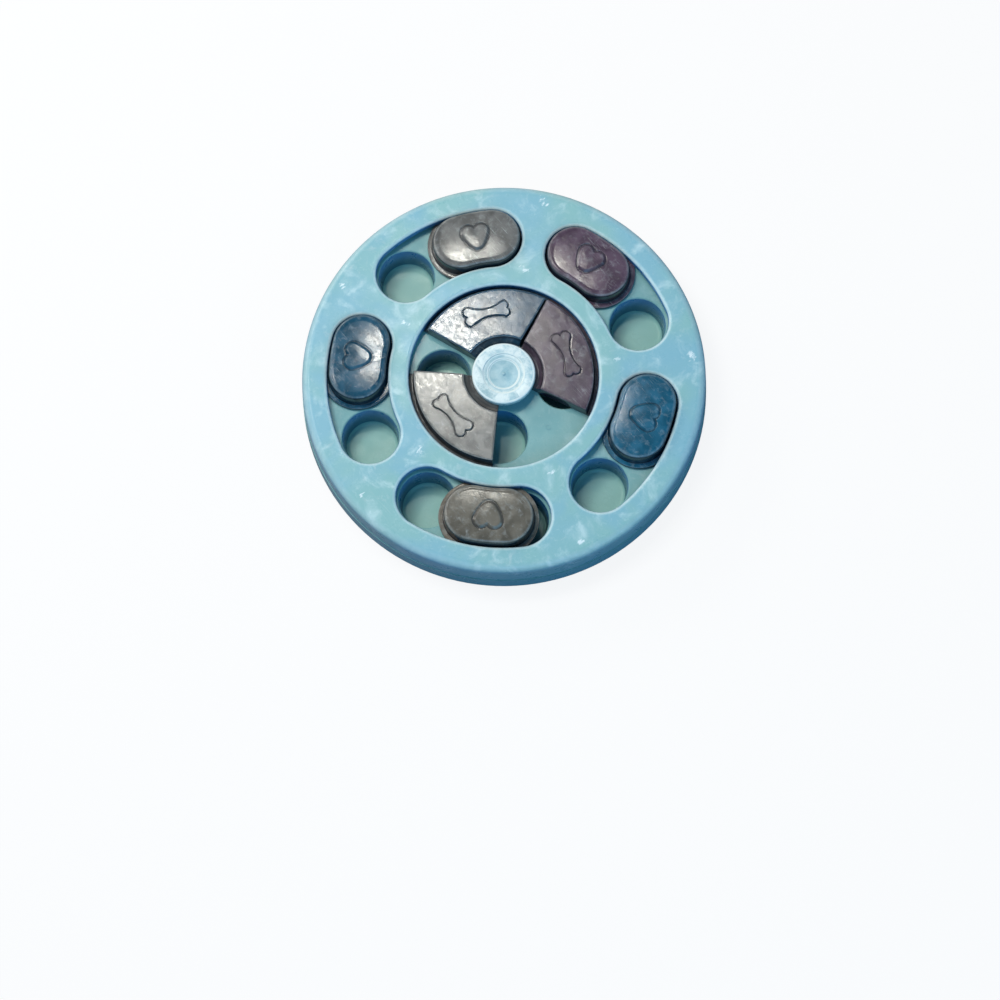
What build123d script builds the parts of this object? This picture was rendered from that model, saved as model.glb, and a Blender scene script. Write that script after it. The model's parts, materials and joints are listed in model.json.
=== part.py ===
from build123d import *
import math
import os

os.makedirs("parts", exist_ok=True)

# Round puzzle feeder for a dog: a tray with wells under a slotted cover.  Five kidney-shaped caps slide
# round the rim over two wells each, and three sector caps slide round the hub over four wells.  The tray
# is one moulding: its wells are kept as cups of their own, so that each stays open as a simple shape.
# Millimetres.  +Z is up, the origin is on the disc's axis at the surface it stands on, and +Y runs
# through the middle of the first rim slot.

# ---------------------------------------------------------------- driving dimensions
# Rim of the disc
tray_radius = 122.4            # foot of the tray's side, the widest place
tray_side_draft = 0.7          # how much the tray's side leans in on its way up
tray_wall = 2.2                # side wall of the tray
joint_step = 0.4               # the skirt starts this far inside the tray's side
cover_side_draft = 0.9         # how much the skirt leans in up to the shoulder
cover_wall = 2.2               # skirt of the cover
shoulder_radius = 5.0          # big round edge between the cover's top and its skirt
skirt_lap_gap = 0.6            # play between the tray's upstand and the skirt
parting_gap = 0.5              # open joint line between skirt and tray
edge_round = 0.8               # small moulded rounds

# Heights
foot_proud = 1.0               # what the rubber feet stand out below the tray
well_floor = 1.6               # bottom of each well
well_depth = 20.2              # from the deck to a well's floor
deck_plate = 2.0               # plate that carries the wells
side_height = 12.0             # tray side, from its foot to the joint line
cover_rise = 8.6               # from the deck to the cover's top
cover_plate = 2.4              # top plate of the cover

# Wells
well_radius = 17.1             # mouth of an outer well
well_angle = 18.85             # outer wells lie this many degrees either side of a slot's middle
inner_well_web = 17.9          # deck between neighbouring inner wells
inner_well_edge = 4.2          # deck between an inner well and the window's edge
inner_well_count = 4
inner_well_start = 45.0        # the first inner well, degrees anticlockwise from +X
well_draft = 1.5               # a well is this much narrower at its floor
well_corner = 2.6              # round between a well's side and its floor
well_wall = 1.7
well_edge = 0.6                # bevel round a well's mouth

# Rim slots and their sliders
slot_count = 5
rim_band = 16.9                # from the tray's foot in to the slots
slot_width = 36.4
slot_lip = 1.6                 # round on the lips of the slots and the window
guide_wall = 2.0               # walls under the cover, round the slots and the window
guide_rib = 1.7                # ribs that reach down to the deck beside the tracks
slider_gap = 0.6               # play of a slider's body in its slot
slider_lobe = 6.3              # degrees from a slider's middle to the centre of its round end
slider_rise = 4.2              # a slider's top above the cover's top
slider_taper = 5.0             # draft of its sides, degrees
slider_round = 2.0             # round on its top edge
slider_shell = 2.0             # thickness of the moulded cap
flange_reach = 3.8             # the flange goes this far under the slot's edge
flange_lobe = 5.2              # degrees from a flange's middle to the centre of its round end
flange_thickness = 2.4
run_gap = 0.3                  # a flange runs this far above the deck
over_gap = 0.5                 # a flange runs this far below the walls and beside the ribs

# Window, sectors and hub
window_bridge = 12.4           # cover between the window and the slots
sector_gap = 2.3               # foot of a sector's outer side to the window's edge
sector_rise = 1.6              # a sector's top above the cover's top
sector_draft = 0.7             # lean of a sector's outer side
sector_half_angle = 44.2       # lean of a sector's straight sides from its middle line
sector_apex = 1.7              # where the two straight sides would meet, ahead of the axis
sector_inner = 23.9            # inner edge of a sector's top
sector_slope = 2.7             # its inner side slopes in by this much
sector_slope_drop = 3.2        # and comes down by this much to the tongue
sector_reach = 2.7             # flange beyond the window's edge
sector_shell = 2.0
tongue_gap = 0.7               # play between a sector's tongue and the hub's column
hub_radius = 18.9
hub_rise = 3.4                 # top of the hub above the cover's top
hub_head = 4.4                 # thickness of the hub's head
hub_column = 15.9
hub_shell = 2.0
hub_round = 1.2                # round on the outer edge of its top
hub_step_round = 0.5
hub_step_radius = 12.3         # first step down in the hub's top
hub_step = 0.9
hub_dish_radius = 9.3          # dish inside the step
hub_dish = 0.8
hub_nub_radius = 0.9           # gate mark in the middle of the dish
hub_nub = 0.5
spigot_height = 2.2            # ring on the deck that centres the hub
spigot_gap = 0.4

# Ornaments
heart_width = 17.6
heart_length = 18.6            # before its point is rounded
heart_rise = 0.9
heart_inset = 1.3              # middle of the heart, inwards from the track's middle line
heart_lobe = 4.7               # radius of its lobes
heart_side_angle = 24          # degrees that a lobe runs on past its widest point
heart_point = 2.6              # round on its point
bone_length = 28.0
bone_knob = 3.2                # radius of the two knobs at its bigger end
bone_knob_pitch = 5.8
bone_small_knob = 2.8          # and at its smaller end
bone_small_pitch = 4.6
bone_shaft = 5.3               # at the middle
bone_waist_angle = 50          # degrees round a knob where the shaft's side leaves it
bone_rise = 0.8
ornament_draft = 15            # draft of the raised hearts and bones, degrees
bone_inset = 14.1              # middle line of the bone, in from the sector's outer edge
mark_radius = 1.7              # small moulded ring on the deck between the inner wells
mark_offset = 4.1              # further out than the inner wells' middles
mark_rise = 0.2
mark_line = 0.5

# Screws and feet
screw_inset = 11.6             # cover screws, in from the tray's upstand, between the slots
screw_shank = 1.45
screw_play = 0.05
screw_head_radius = 2.9
screw_head_height = 2.2
screw_head_play = 0.5
screw_bite = 5.2               # length of the shank in the cover
post_wall = 2.6                # plastic round a screw
post_depth = 10.0              # bosses under the deck
seat_plate = 4.0               # plastic between a screw's head and the underside of the deck
hub_screw_shank = 1.9
hub_screw_head_radius = 3.8
hub_screw_bite = 6.5
drive_length = 3.6             # cross slot in the screw heads
drive_width = 0.9
drive_depth = 1.2
foot_radius = 6.0
foot_sink = 0.6                # recess that holds a foot
foot_play = 0.3
foot_round = 0.4
rib_thickness = 1.6            # stiffening ribs under the deck
rib_depth = 8.0

# Where the moving pieces rest
slider_ends = (1, -1, -1, 0.53, 1)         # share of the way from the slot's middle to its end
sector_rest_angles = (153.4, 268.6, 66.6)  # degrees anticlockwise from +X

# ---------------------------------------------------------------- sizes that follow from them
cover_radius = tray_radius - tray_side_draft - joint_step
track_radius = tray_radius - rim_band - slot_width / 2
window_radius = track_radius - slot_width / 2 - window_bridge
inner_well_spread = 2 * math.sin(math.pi / inner_well_count)
inner_well_reach = window_radius - inner_well_edge
inner_well_radius = (inner_well_spread * inner_well_reach - inner_well_web) / (2 + inner_well_spread)
inner_well_ring = inner_well_reach - inner_well_radius
tray_foot = foot_proud
floor_top = foot_proud + well_floor
deck = floor_top + well_depth
deck_under = deck - deck_plate
side_top = tray_foot + side_height
cover_top = deck + cover_rise
cover_under = cover_top - cover_plate
flange_under = deck + run_gap
flange_top = flange_under + flange_thickness
wall_foot = flange_top + over_gap
slot_pitch = 360 / slot_count
slot_angles = [90 + slot_pitch * i for i in range(slot_count)]
slider_width = slot_width - 2 * slider_gap
flange_width = slot_width + 2 * flange_reach
upstand_radius = cover_radius - cover_side_draft - cover_wall - skirt_lap_gap
slider_top = cover_top + slider_rise
sector_top = cover_top + sector_rise
hub_top = cover_top + hub_rise
hub_under = hub_top - hub_head
sector_outer_foot = window_radius - sector_gap
sector_outer = sector_outer_foot - sector_draft
sector_flange = window_radius + sector_reach
tongue_radius = hub_column + tongue_gap
tongue_top = sector_top - sector_slope_drop
tongue_outer = sector_inner - sector_slope
bone_ring = sector_outer - bone_inset
mark_ring = inner_well_ring + mark_offset
screw_ring = upstand_radius - screw_inset
screw_angles = [a + slot_pitch / 2 for a in slot_angles]
slider_angles = [a + end * (well_angle - slider_lobe) for a, end in zip(slot_angles, slider_ends)]
screw_hole = screw_shank + screw_play
screw_post = screw_hole + post_wall
hub_screw_hole = hub_screw_shank + screw_play
hub_screw_post = hub_screw_hole + post_wall
seat_z = deck_under - seat_plate
post_foot = deck_under - post_depth
window_guide = sector_flange + over_gap
inner_guide = track_radius - flange_width / 2 - over_gap
outer_guide = track_radius + flange_width / 2 + over_gap


def at(radius, angle):
    """The point on the given radius, the given number of degrees round from +X."""
    return (radius * math.cos(math.radians(angle)), radius * math.sin(math.radians(angle)))


def kidney(width, lobe_angle, middle_angle=0.0, mode=Mode.ADD):
    """A kidney bent round the disc's axis, with round ends of half its width."""
    spine = CenterArc((0, 0), track_radius, middle_angle - lobe_angle, 2 * lobe_angle, mode=Mode.PRIVATE)
    return SlotArc(spine, width, mode=mode)


def ring(inner, outer):
    """A flat ring about the disc's axis."""
    Circle(outer)
    Circle(inner, mode=Mode.SUBTRACT)


outer_wells = [at(track_radius, a + side * well_angle) for a in slot_angles for side in (-1, 1)]
inner_well_pitch = 360 / inner_well_count
inner_well_angles = [inner_well_start + inner_well_pitch * i for i in range(inner_well_count)]
inner_wells = [at(inner_well_ring, a) for a in inner_well_angles]
foot_places = [at(track_radius, a - well_angle) for a in slot_angles]
screw_places = [at(screw_ring, a) for a in screw_angles]


def well_hollow(mouth):
    """The room in a well, from its floor up to the deck."""
    with BuildPart() as hollow:
        with BuildSketch(Plane.XZ) as half_section:
            with BuildLine():
                side_foot = (mouth - well_draft, floor_top)
                Polyline((0, floor_top), side_foot, (mouth, deck), (0, deck), close=True)
            make_face()
            corner = half_section.vertices().sort_by(Axis.Y)[:2].sort_by(Axis.X)[-1]
            fillet(corner, radius=well_corner)
        revolve(axis=Axis.Z)
    return hollow.part


def well_cup(mouth, place, has_foot):
    """The part of a well that hangs under the deck, with a recess for a foot where it has one."""
    with BuildPart() as cup:
        with BuildSketch(Plane.XZ) as half_section:
            with BuildLine():
                side_foot = (mouth - well_draft + well_wall, tray_foot)
                Polyline((0, tray_foot), side_foot, (mouth + well_wall, deck), (0, deck), close=True)
            make_face()
            corner = half_section.vertices().sort_by(Axis.Y)[:2].sort_by(Axis.X)[-1]
            chamfer(corner, length=well_corner)
        revolve(axis=Axis.Z)
        add(well_hollow(mouth), mode=Mode.SUBTRACT)
        split(bisect_by=Plane.XY.offset(deck_under), keep=Keep.BOTTOM)
        if has_foot:
            with BuildSketch(Plane.XY.offset(tray_foot)) as recess_plan:
                Circle(foot_radius + foot_play)
            extrude(amount=foot_sink, mode=Mode.SUBTRACT)
    return cup.part.moved(Location((*place, 0)))


# ---------------------------------------------------------------- base tray
with BuildPart() as base_tray:
    with BuildSketch(Plane.XZ) as tray_section:
        with BuildLine():
            Polyline(
                (0, deck),
                (upstand_radius, deck),
                (upstand_radius, side_top),
                (tray_radius - tray_side_draft, side_top),
                (tray_radius, tray_foot),
                (tray_radius - tray_wall, tray_foot),
                (tray_radius - tray_side_draft - tray_wall, side_top - tray_wall),
                (upstand_radius - tray_wall, side_top - tray_wall),
                (upstand_radius - tray_wall, deck_under),
                (0, deck_under),
                close=True,
            )
        make_face()
    revolve(axis=Axis.Z)
    rims = base_tray.edges().filter_by(GeomType.CIRCLE).group_by(SortBy.RADIUS)
    fillet(rims[-1], radius=edge_round)

    # ribs and screw bosses under the deck
    with BuildSketch(Plane.XY.offset(deck_under)) as rib_plan:
        rib_length = upstand_radius - tray_wall / 2 - window_radius
        with PolarLocations(window_radius + rib_length / 2, slot_count, start_angle=screw_angles[0]):
            Rectangle(rib_length, rib_thickness)
        ring(window_radius, window_radius + rib_thickness)
    extrude(amount=-rib_depth)
    with BuildSketch(Plane.XY.offset(deck_under)) as boss_plan:
        with Locations(*screw_places):
            Circle(screw_head_radius + screw_head_play + rib_thickness)
        Circle(hub_screw_head_radius + screw_head_play + rib_thickness)
    extrude(amount=-post_depth)

    # mouths of the wells
    with Locations(*outer_wells):
        add(well_hollow(well_radius), mode=Mode.SUBTRACT)
    with Locations(*inner_wells):
        add(well_hollow(inner_well_radius), mode=Mode.SUBTRACT)
    deck_rims = base_tray.edges().filter_by(GeomType.CIRCLE).group_by(Axis.Z)[-1]
    chamfer(deck_rims.filter_by(lambda rim: rim.radius < 2 * well_radius), length=well_edge)

    # ring that centres the hub, and small moulded rings between the inner wells
    with BuildSketch(Plane.XY.offset(deck)) as spigot_plan:
        spigot_outer = hub_column - hub_shell - spigot_gap
        ring(spigot_outer - hub_shell, spigot_outer)
    extrude(amount=spigot_height)
    with BuildSketch(Plane.XY.offset(deck)) as mark_plan:
        with PolarLocations(mark_ring, inner_well_count):
            Circle(mark_radius)
            Circle(mark_radius - mark_line, mode=Mode.SUBTRACT)
    extrude(amount=mark_rise)

    # screw holes with their head pockets
    with BuildSketch(Plane.XY.offset(post_foot)) as pocket_plan:
        with Locations(*screw_places):
            Circle(screw_head_radius + screw_head_play)
        Circle(hub_screw_head_radius + screw_head_play)
    extrude(amount=seat_z - post_foot, mode=Mode.SUBTRACT)
    with BuildSketch(Plane.XY.offset(post_foot)) as hole_plan:
        with Locations(*screw_places):
            Circle(screw_hole)
        Circle(hub_screw_hole)
    extrude(amount=deck - post_foot + spigot_height, mode=Mode.SUBTRACT)
base_tray.part.label = "base_tray"
export_step(base_tray.part, "parts/base_tray.step")

# cups of the wells, each joined by its rim to the underside of the deck
for number, place in enumerate(outer_wells, start=1):
    outer_cup = well_cup(well_radius, place, place in foot_places)
    outer_cup.label = f"outer_cup_{number}"
    export_step(outer_cup, f"parts/outer_cup_{number}.step")

for number, place in enumerate(inner_wells, start=1):
    inner_cup = well_cup(inner_well_radius, place, False)
    inner_cup.label = f"inner_cup_{number}"
    export_step(inner_cup, f"parts/inner_cup_{number}.step")

# ---------------------------------------------------------------- top cover
with BuildPart() as top_cover:
    skirt_foot = side_top + parting_gap
    skirt_top_radius = cover_radius - cover_side_draft
    with BuildSketch(Plane.XZ) as cover_section:
        with BuildLine():
            outside = FilletPolyline(
                (0, cover_top),
                (skirt_top_radius, cover_top),
                (cover_radius, skirt_foot),
                radius=shoulder_radius,
            )
            inside = FilletPolyline(
                (cover_radius - cover_wall, skirt_foot),
                (skirt_top_radius - cover_wall, cover_under),
                (0, cover_under),
                radius=shoulder_radius - cover_wall,
            )
            Line(outside @ 1, inside @ 0)
            Line(inside @ 1, outside @ 0)
        make_face()
    revolve(axis=Axis.Z)

    # walls under the plate, round the slots and the window
    with BuildSketch(Plane.XY.offset(wall_foot)) as wall_plan:
        for angle in slot_angles:
            kidney(slot_width + 2 * guide_wall, well_angle, angle)
        ring(window_radius, window_radius + guide_wall)
    extrude(amount=cover_under - wall_foot)

    # ribs beside the tracks and posts for the screws, down to the deck
    with BuildSketch(Plane.XY.offset(deck)) as rib_plan:
        ring(outer_guide, outer_guide + guide_rib)
        with Locations(*screw_places):
            Circle(screw_post)
    extrude(amount=cover_under - deck)
    with BuildSketch(Plane.XY.offset(deck)) as inner_rib_plan:
        ring(inner_guide - guide_rib, inner_guide)
    extrude(amount=cover_under - deck)
    with BuildSketch(Plane.XY.offset(deck)) as window_rib_plan:
        ring(window_guide, window_guide + guide_rib)
    extrude(amount=cover_under - deck)

    # slots and window
    with BuildSketch(Plane.XY.offset(wall_foot)) as slot_plan:
        for angle in slot_angles:
            kidney(slot_width, well_angle, angle)
        Circle(window_radius)
    extrude(amount=cover_rise, mode=Mode.SUBTRACT)
    cover_face = top_cover.faces().filter_by(Plane.XY).sort_by(Axis.Z)[-1]
    lips = [edge for wire in cover_face.inner_wires() for edge in wire.edges()]
    fillet(lips, radius=slot_lip)

    # screw holes
    with BuildSketch(Plane.XY.offset(deck)) as hole_plan:
        with Locations(*screw_places):
            Circle(screw_hole)
    extrude(amount=screw_bite + screw_play, mode=Mode.SUBTRACT)
top_cover.part.label = "top_cover"
export_step(top_cover.part, "parts/top_cover.step")

# ---------------------------------------------------------------- hub
with BuildPart() as hub_cap:
    step_floor = hub_top - hub_step
    dish_floor = step_floor - hub_dish
    ceiling = dish_floor - hub_shell
    with BuildSketch(Plane.XZ) as hub_section:
        with BuildLine():
            Polyline(
                (0, dish_floor),
                (hub_dish_radius, dish_floor),
                (hub_dish_radius, step_floor),
                (hub_step_radius, step_floor),
                (hub_step_radius, hub_top),
                (hub_radius, hub_top),
                (hub_radius, hub_under),
                (hub_column, hub_under),
                (hub_column, deck),
                (hub_column - hub_shell, deck),
                (hub_column - hub_shell, ceiling),
                (hub_screw_post, ceiling),
                (hub_screw_post, deck),
                (0, deck),
                close=True,
            )
        make_face()
    revolve(axis=Axis.Z)
    top_rings = hub_cap.edges().filter_by(GeomType.CIRCLE).group_by(Axis.Z)[-1]
    fillet(top_rings.sort_by(SortBy.RADIUS)[-1], radius=hub_round)
    fillet(top_rings.sort_by(SortBy.RADIUS)[0], radius=hub_step_round)
    with BuildSketch(Plane.XY.offset(dish_floor)) as nub_plan:
        Circle(hub_nub_radius)
    extrude(amount=hub_nub)
    with BuildSketch(Plane.XY.offset(deck)) as hub_hole_plan:
        Circle(hub_screw_hole)
    extrude(amount=hub_screw_bite + screw_play, mode=Mode.SUBTRACT)
hub_cap.part.label = "hub_cap"
export_step(hub_cap.part, "parts/hub_cap.step")


# ---------------------------------------------------------------- ornaments
def outward(radius, angle, height):
    """A level plane at the given place, with its Y axis pointing away from the disc's axis."""
    return Plane(origin=(*at(radius, angle), height), x_dir=(*at(1, angle - 90), 0), z_dir=(0, 0, 1))


def heart(place):
    """A heart about the plane's origin, with its point towards -Y."""
    lobe_x = heart_width / 2 - heart_lobe
    notch_angle = math.degrees(math.acos(-lobe_x / heart_lobe))
    lobe_y = heart_length / 2 - heart_lobe
    with BuildSketch(place) as outline:
        with BuildLine():
            lobe_sweep = heart_side_angle + notch_angle
            lobe = CenterArc((lobe_x, lobe_y), heart_lobe, -heart_side_angle, lobe_sweep)
            TangentArc(lobe @ 0, (0, -heart_length / 2), tangent=-(lobe % 0))
            mirror(about=Plane.YZ)
        make_face()
        fillet(outline.vertices().sort_by(Axis.Y)[0], radius=heart_point)
    return outline.sketch


def bone(place):
    """A bone along X, about the plane's origin, with its bigger end towards -X."""
    big_x = bone_knob - bone_length / 2
    small_x = bone_length / 2 - bone_small_knob
    waist_x = math.cos(math.radians(bone_waist_angle))
    waist_y = math.sin(math.radians(bone_waist_angle))
    big_side = (big_x + bone_knob * waist_x, bone_knob_pitch / 2 + bone_knob * waist_y)
    small_side = (small_x - bone_small_knob * waist_x, bone_small_pitch / 2 + bone_small_knob * waist_y)
    with BuildSketch(place) as outline:
        with BuildLine():
            Line((small_x, 0), small_side)
            ThreePointArc(small_side, (0, bone_shaft / 2), big_side)
            Line(big_side, (big_x, 0))
            mirror(about=Plane.XZ)
        make_face()
        with Locations((big_x, bone_knob_pitch / 2), (big_x, -bone_knob_pitch / 2)):
            Circle(bone_knob)
        with Locations((small_x, bone_small_pitch / 2), (small_x, -bone_small_pitch / 2)):
            Circle(bone_small_knob)
    return outline.sketch


# ---------------------------------------------------------------- sliders of the rim slots
for number, middle in enumerate(slider_angles, start=1):
    with BuildPart() as outer_slider:
        with BuildSketch(Plane.XY.offset(flange_under)) as flange_plan:
            kidney(flange_width, flange_lobe, middle)
        extrude(amount=flange_thickness)
        with BuildSketch(Plane.XY.offset(flange_top)) as body_plan:
            kidney(slider_width, slider_lobe, middle)
        extrude(amount=slider_top - flange_top, taper=slider_taper)
        fillet(outer_slider.faces().sort_by(Axis.Z)[-1].edges(), radius=slider_round)
        with BuildSketch(Plane.XY.offset(flange_under)) as hollow_plan:
            kidney(slider_width - 2 * slider_shell, slider_lobe, middle)
        extrude(amount=slider_top - slider_shell - flange_under, taper=slider_taper, mode=Mode.SUBTRACT)
        heart_face = heart(outward(track_radius - heart_inset, middle, slider_top))
        extrude(heart_face, amount=heart_rise, taper=ornament_draft)
    outer_slider.part.label = f"outer_slider_{number}"
    export_step(outer_slider.part, f"parts/outer_slider_{number}.step")


# ---------------------------------------------------------------- sectors round the hub
def sector_block(section, middle, apex):
    """The section turned about the disc's axis, kept between two straight sides that start at the apex."""
    side_x = 2 * sector_flange * math.sin(math.radians(sector_half_angle))
    side_y = 2 * sector_flange * math.cos(math.radians(sector_half_angle))
    with BuildPart() as block:
        with BuildSketch(Plane.XZ) as half_section:
            with BuildLine():
                Polyline(*section, close=True)
            make_face()
        revolve(axis=Axis.Z)
        with BuildSketch(outward(apex, middle, flange_under)) as wedge_plan:
            with BuildLine():
                Polyline((0, 0), (side_x, side_y), (0, 2 * side_y), (-side_x, side_y), close=True)
            make_face()
        extrude(amount=sector_top - flange_under, mode=Mode.INTERSECT)
    return block.part


slope_run = sector_slope / sector_slope_drop
slope_skin = sector_shell * math.hypot(1, slope_run)
tongue_ceiling = tongue_top - sector_shell
sector_ceiling = sector_top - sector_shell
sector_section = (
    (tongue_radius, flange_under),
    (tongue_radius, tongue_top),
    (tongue_outer, tongue_top),
    (sector_inner, sector_top),
    (sector_outer, sector_top),
    (sector_outer_foot, flange_top),
    (sector_flange, flange_top),
    (sector_flange, flange_under),
)
sector_hollow = (
    (tongue_radius + sector_shell, flange_under),
    (tongue_radius + sector_shell, tongue_ceiling),
    (tongue_outer + slope_skin - sector_shell * slope_run, tongue_ceiling),
    (sector_inner + slope_skin - sector_shell * slope_run, sector_ceiling),
    (sector_outer - sector_shell, sector_ceiling),
    (sector_outer_foot - sector_shell, flange_under),
)
hollow_apex = sector_apex + sector_shell / math.sin(math.radians(sector_half_angle))

for number, middle in enumerate(sector_rest_angles, start=1):
    with BuildPart() as sector_slider:
        add(sector_block(sector_section, middle, sector_apex))
        fillet(sector_slider.faces().filter_by(Plane.XY).sort_by(Axis.Z)[-1].edges(), radius=edge_round)
        add(sector_block(sector_hollow, middle, hollow_apex), mode=Mode.SUBTRACT)
        bone_face = bone(outward(bone_ring, middle, sector_top))
        extrude(bone_face, amount=bone_rise, taper=ornament_draft)
    sector_slider.part.label = f"sector_slider_{number}"
    export_step(sector_slider.part, f"parts/sector_slider_{number}.step")


# ---------------------------------------------------------------- screws and feet
def screw(place, shank, head_radius, bite):
    """A pan-head screw driven up from below: its head seats under the deck, its tip is in the cover."""
    seat = Plane(origin=(*place, seat_z), x_dir=(1, 0, 0), z_dir=(0, -1, 0))
    tip = deck + bite - seat_z
    with BuildPart() as fastener:
        with BuildSketch(seat) as half_section:
            with BuildLine():
                Polyline(
                    (0, -screw_head_height),
                    (head_radius - edge_round, -screw_head_height),
                    (head_radius, edge_round - screw_head_height),
                    (head_radius, 0),
                    (shank, 0),
                    (shank, tip - shank),
                    (0, tip),
                    close=True,
                )
            make_face()
        revolve(axis=Axis((*place, 0), (0, 0, 1)))
        with BuildSketch(Plane((*place, seat_z - screw_head_height))) as drive_plan:
            Rectangle(drive_length, drive_width)
            Rectangle(drive_width, drive_length)
        extrude(amount=drive_depth, mode=Mode.SUBTRACT)
    return fastener.part


hub_screw = screw((0, 0), hub_screw_shank, hub_screw_head_radius, hub_screw_bite)
hub_screw.label = "hub_screw"
export_step(hub_screw, "parts/hub_screw.step")

for number, place in enumerate(screw_places, start=1):
    cover_screw = screw(place, screw_shank, screw_head_radius, screw_bite)
    cover_screw.label = f"cover_screw_{number}"
    export_step(cover_screw, f"parts/cover_screw_{number}.step")

for number, place in enumerate(foot_places, start=1):
    with BuildPart() as rubber_foot:
        with BuildSketch(Plane(place)) as foot_plan:
            Circle(foot_radius)
        extrude(amount=foot_proud + foot_sink)
        fillet(rubber_foot.faces().sort_by(Axis.Z)[0].edges(), radius=foot_round)
    rubber_foot.part.label = f"rubber_foot_{number}"
    export_step(rubber_foot.part, f"parts/rubber_foot_{number}.step")
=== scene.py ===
"""Puzzle feeder for a dog: a marbled tray and cover, caps with hearts, sector caps with bones and a hub."""

import json
import math

import bmesh
import bpy
from mathutils import Matrix, Vector

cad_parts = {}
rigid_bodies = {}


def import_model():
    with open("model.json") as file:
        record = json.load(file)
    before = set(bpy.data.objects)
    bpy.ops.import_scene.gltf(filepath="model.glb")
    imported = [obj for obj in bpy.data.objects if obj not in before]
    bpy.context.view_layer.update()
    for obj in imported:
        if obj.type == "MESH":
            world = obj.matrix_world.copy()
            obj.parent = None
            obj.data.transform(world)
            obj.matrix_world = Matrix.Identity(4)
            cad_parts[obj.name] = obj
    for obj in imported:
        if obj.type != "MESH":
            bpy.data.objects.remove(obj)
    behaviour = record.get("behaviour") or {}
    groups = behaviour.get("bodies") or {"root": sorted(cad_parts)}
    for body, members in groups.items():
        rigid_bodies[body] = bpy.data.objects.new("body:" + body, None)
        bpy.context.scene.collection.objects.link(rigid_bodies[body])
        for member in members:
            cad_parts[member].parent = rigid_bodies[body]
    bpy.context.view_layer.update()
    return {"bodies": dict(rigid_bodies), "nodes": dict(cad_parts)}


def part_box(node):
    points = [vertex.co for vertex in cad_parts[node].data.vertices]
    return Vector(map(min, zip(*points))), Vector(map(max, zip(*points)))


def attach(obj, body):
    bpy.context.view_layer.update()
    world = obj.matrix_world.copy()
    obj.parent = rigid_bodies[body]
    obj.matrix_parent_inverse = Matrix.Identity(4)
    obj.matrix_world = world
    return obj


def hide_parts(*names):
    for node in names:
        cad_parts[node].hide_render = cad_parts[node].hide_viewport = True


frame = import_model()

bl_info = {
    "name": "Dog puzzle feeder",
    "version": (1, 0, 0),
    "blender": (4, 5, 0),
    "location": "View3D > Sidebar > Feeder",
    "description": "Builds the caps, cover, hub, fasteners and finishes of a round puzzle feeder",
    "category": "Add Mesh",
}

MM = 0.001
BASE = "feeder"
RIM_CAPS = [name for name in frame["bodies"] if name.startswith("rim_cap")]
SECTORS = [name for name in frame["bodies"] if name.startswith("hub_sector")]


# ---------------------------------------------------------------- what the frame gives
def low(node):
    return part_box(node)[0]


def high(node):
    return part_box(node)[1]


def middle_angle(node):
    """Radians round the disc's axis to the middle of a node that is the same on both sides of it."""
    bottom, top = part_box(node)
    towards = math.atan2(bottom.y + top.y, bottom.x + top.x)
    turn = Matrix.Rotation(-towards, 3, "Z")
    turned = [turn @ vertex.co for vertex in frame["nodes"][node].data.vertices]
    angles = [math.atan2(point.y, point.x) for point in turned]
    return towards + (min(angles) + max(angles)) / 2


DECK = low("hub_cap").z
COVER_TOP = high("top_cover").z
COVER_RADIUS = high("top_cover").x
HUB_RADIUS = high("hub_cap").x
HUB_TOP = high("hub_cap").z
CAP_FOOT = low("outer_slider_1").z
SKIRT_FOOT = low("top_cover").z

RING_STEPS = 220               # sides of the rings round the window and of the cover's ribs
SKIRT_STEPS = 288
HUB_STEPS = 128
FOOT_STEPS = 64
WELD = 1e-6                    # metres, below which two points are one
SHARP_ANGLE = 40               # degrees between two faces, past which their edge shows
CAP_SHARP_ANGLE = 50
SKIN_DEPTH = 0.00012           # metres of relief in the moulded skin of the caps and the cover
CALM_SKIN_DEPTH = 0.00004      # and of the tray and the hub
# colour of the painted glints on the cover
GLINT_WHITE = (0.85, 0.92, 0.92, 1)
# pale mottling of the hub's head, and its painted highlight rings
HUB_PALE = (0.8, 0.86, 0.82, 1)
DULL_ZINC = (0.4, 0.4, 0.38, 1)

CAMERA_LENS = 91.08            # millimetres, on a sensor of the width below
CAMERA_SENSOR = 36
CAMERA_TILT = 75.32            # degrees down from the horizon
CAMERA_ROLL = -3.44
CAMERA_TURN = 51.84            # round the disc's axis
CAMERA_DISTANCE = 1.538
CAMERA_OFFSET = (-0.00265, -0.06665)
CAMERA_REACH = 20

FLOOR_REACH = 3.0
FLOOR_SEEN = (0.85, 0.85, 0.85, 1)
FLOOR_BOUNCE = (0.3, 0.3, 0.3, 1)
FLOOR_GLOW = 0.88              # share of plain white in the floor as the camera sees it
SKY = (0.3, 0.62, 1.0, 1)
SKY_STRENGTH = 0.26

# softboxes: name, elevation and azimuth in degrees, distance, width, height, watts, tint, and whether gloss
# mirrors them
LAMPS = (
    ("key", 69, 194, 1.5, 0.5, 0.5, 10.8, (1.0, 0.97, 0.92), False),
    ("sheen", 60, 202, 1.5, 0.3, 0.3, 2.8, (1.0, 0.98, 0.94), True),
    ("side", 28, 190, 1.8, 1.6, 0.35, 10, (1.0, 0.98, 0.92), True),
    ("fill", 44, -36, 1.8, 1.0, 1.0, 6, (0.22, 0.62, 1.0), True),
    ("far_side", 30, 12, 1.8, 1.4, 0.5, 6, (0.3, 0.7, 1.0), True),
)
# a softbox that mirrors at a spot in a face that leans by so many degrees towards an azimuth:
# name, spot, lean, its azimuth, distance, width, height, watts, tint
GLARE = ("window", (-0.039, -0.001, 0.033), 0.3, 262, 2.0, 0.09, 0.09, 2.7, (1.0, 0.98, 0.88))


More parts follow.
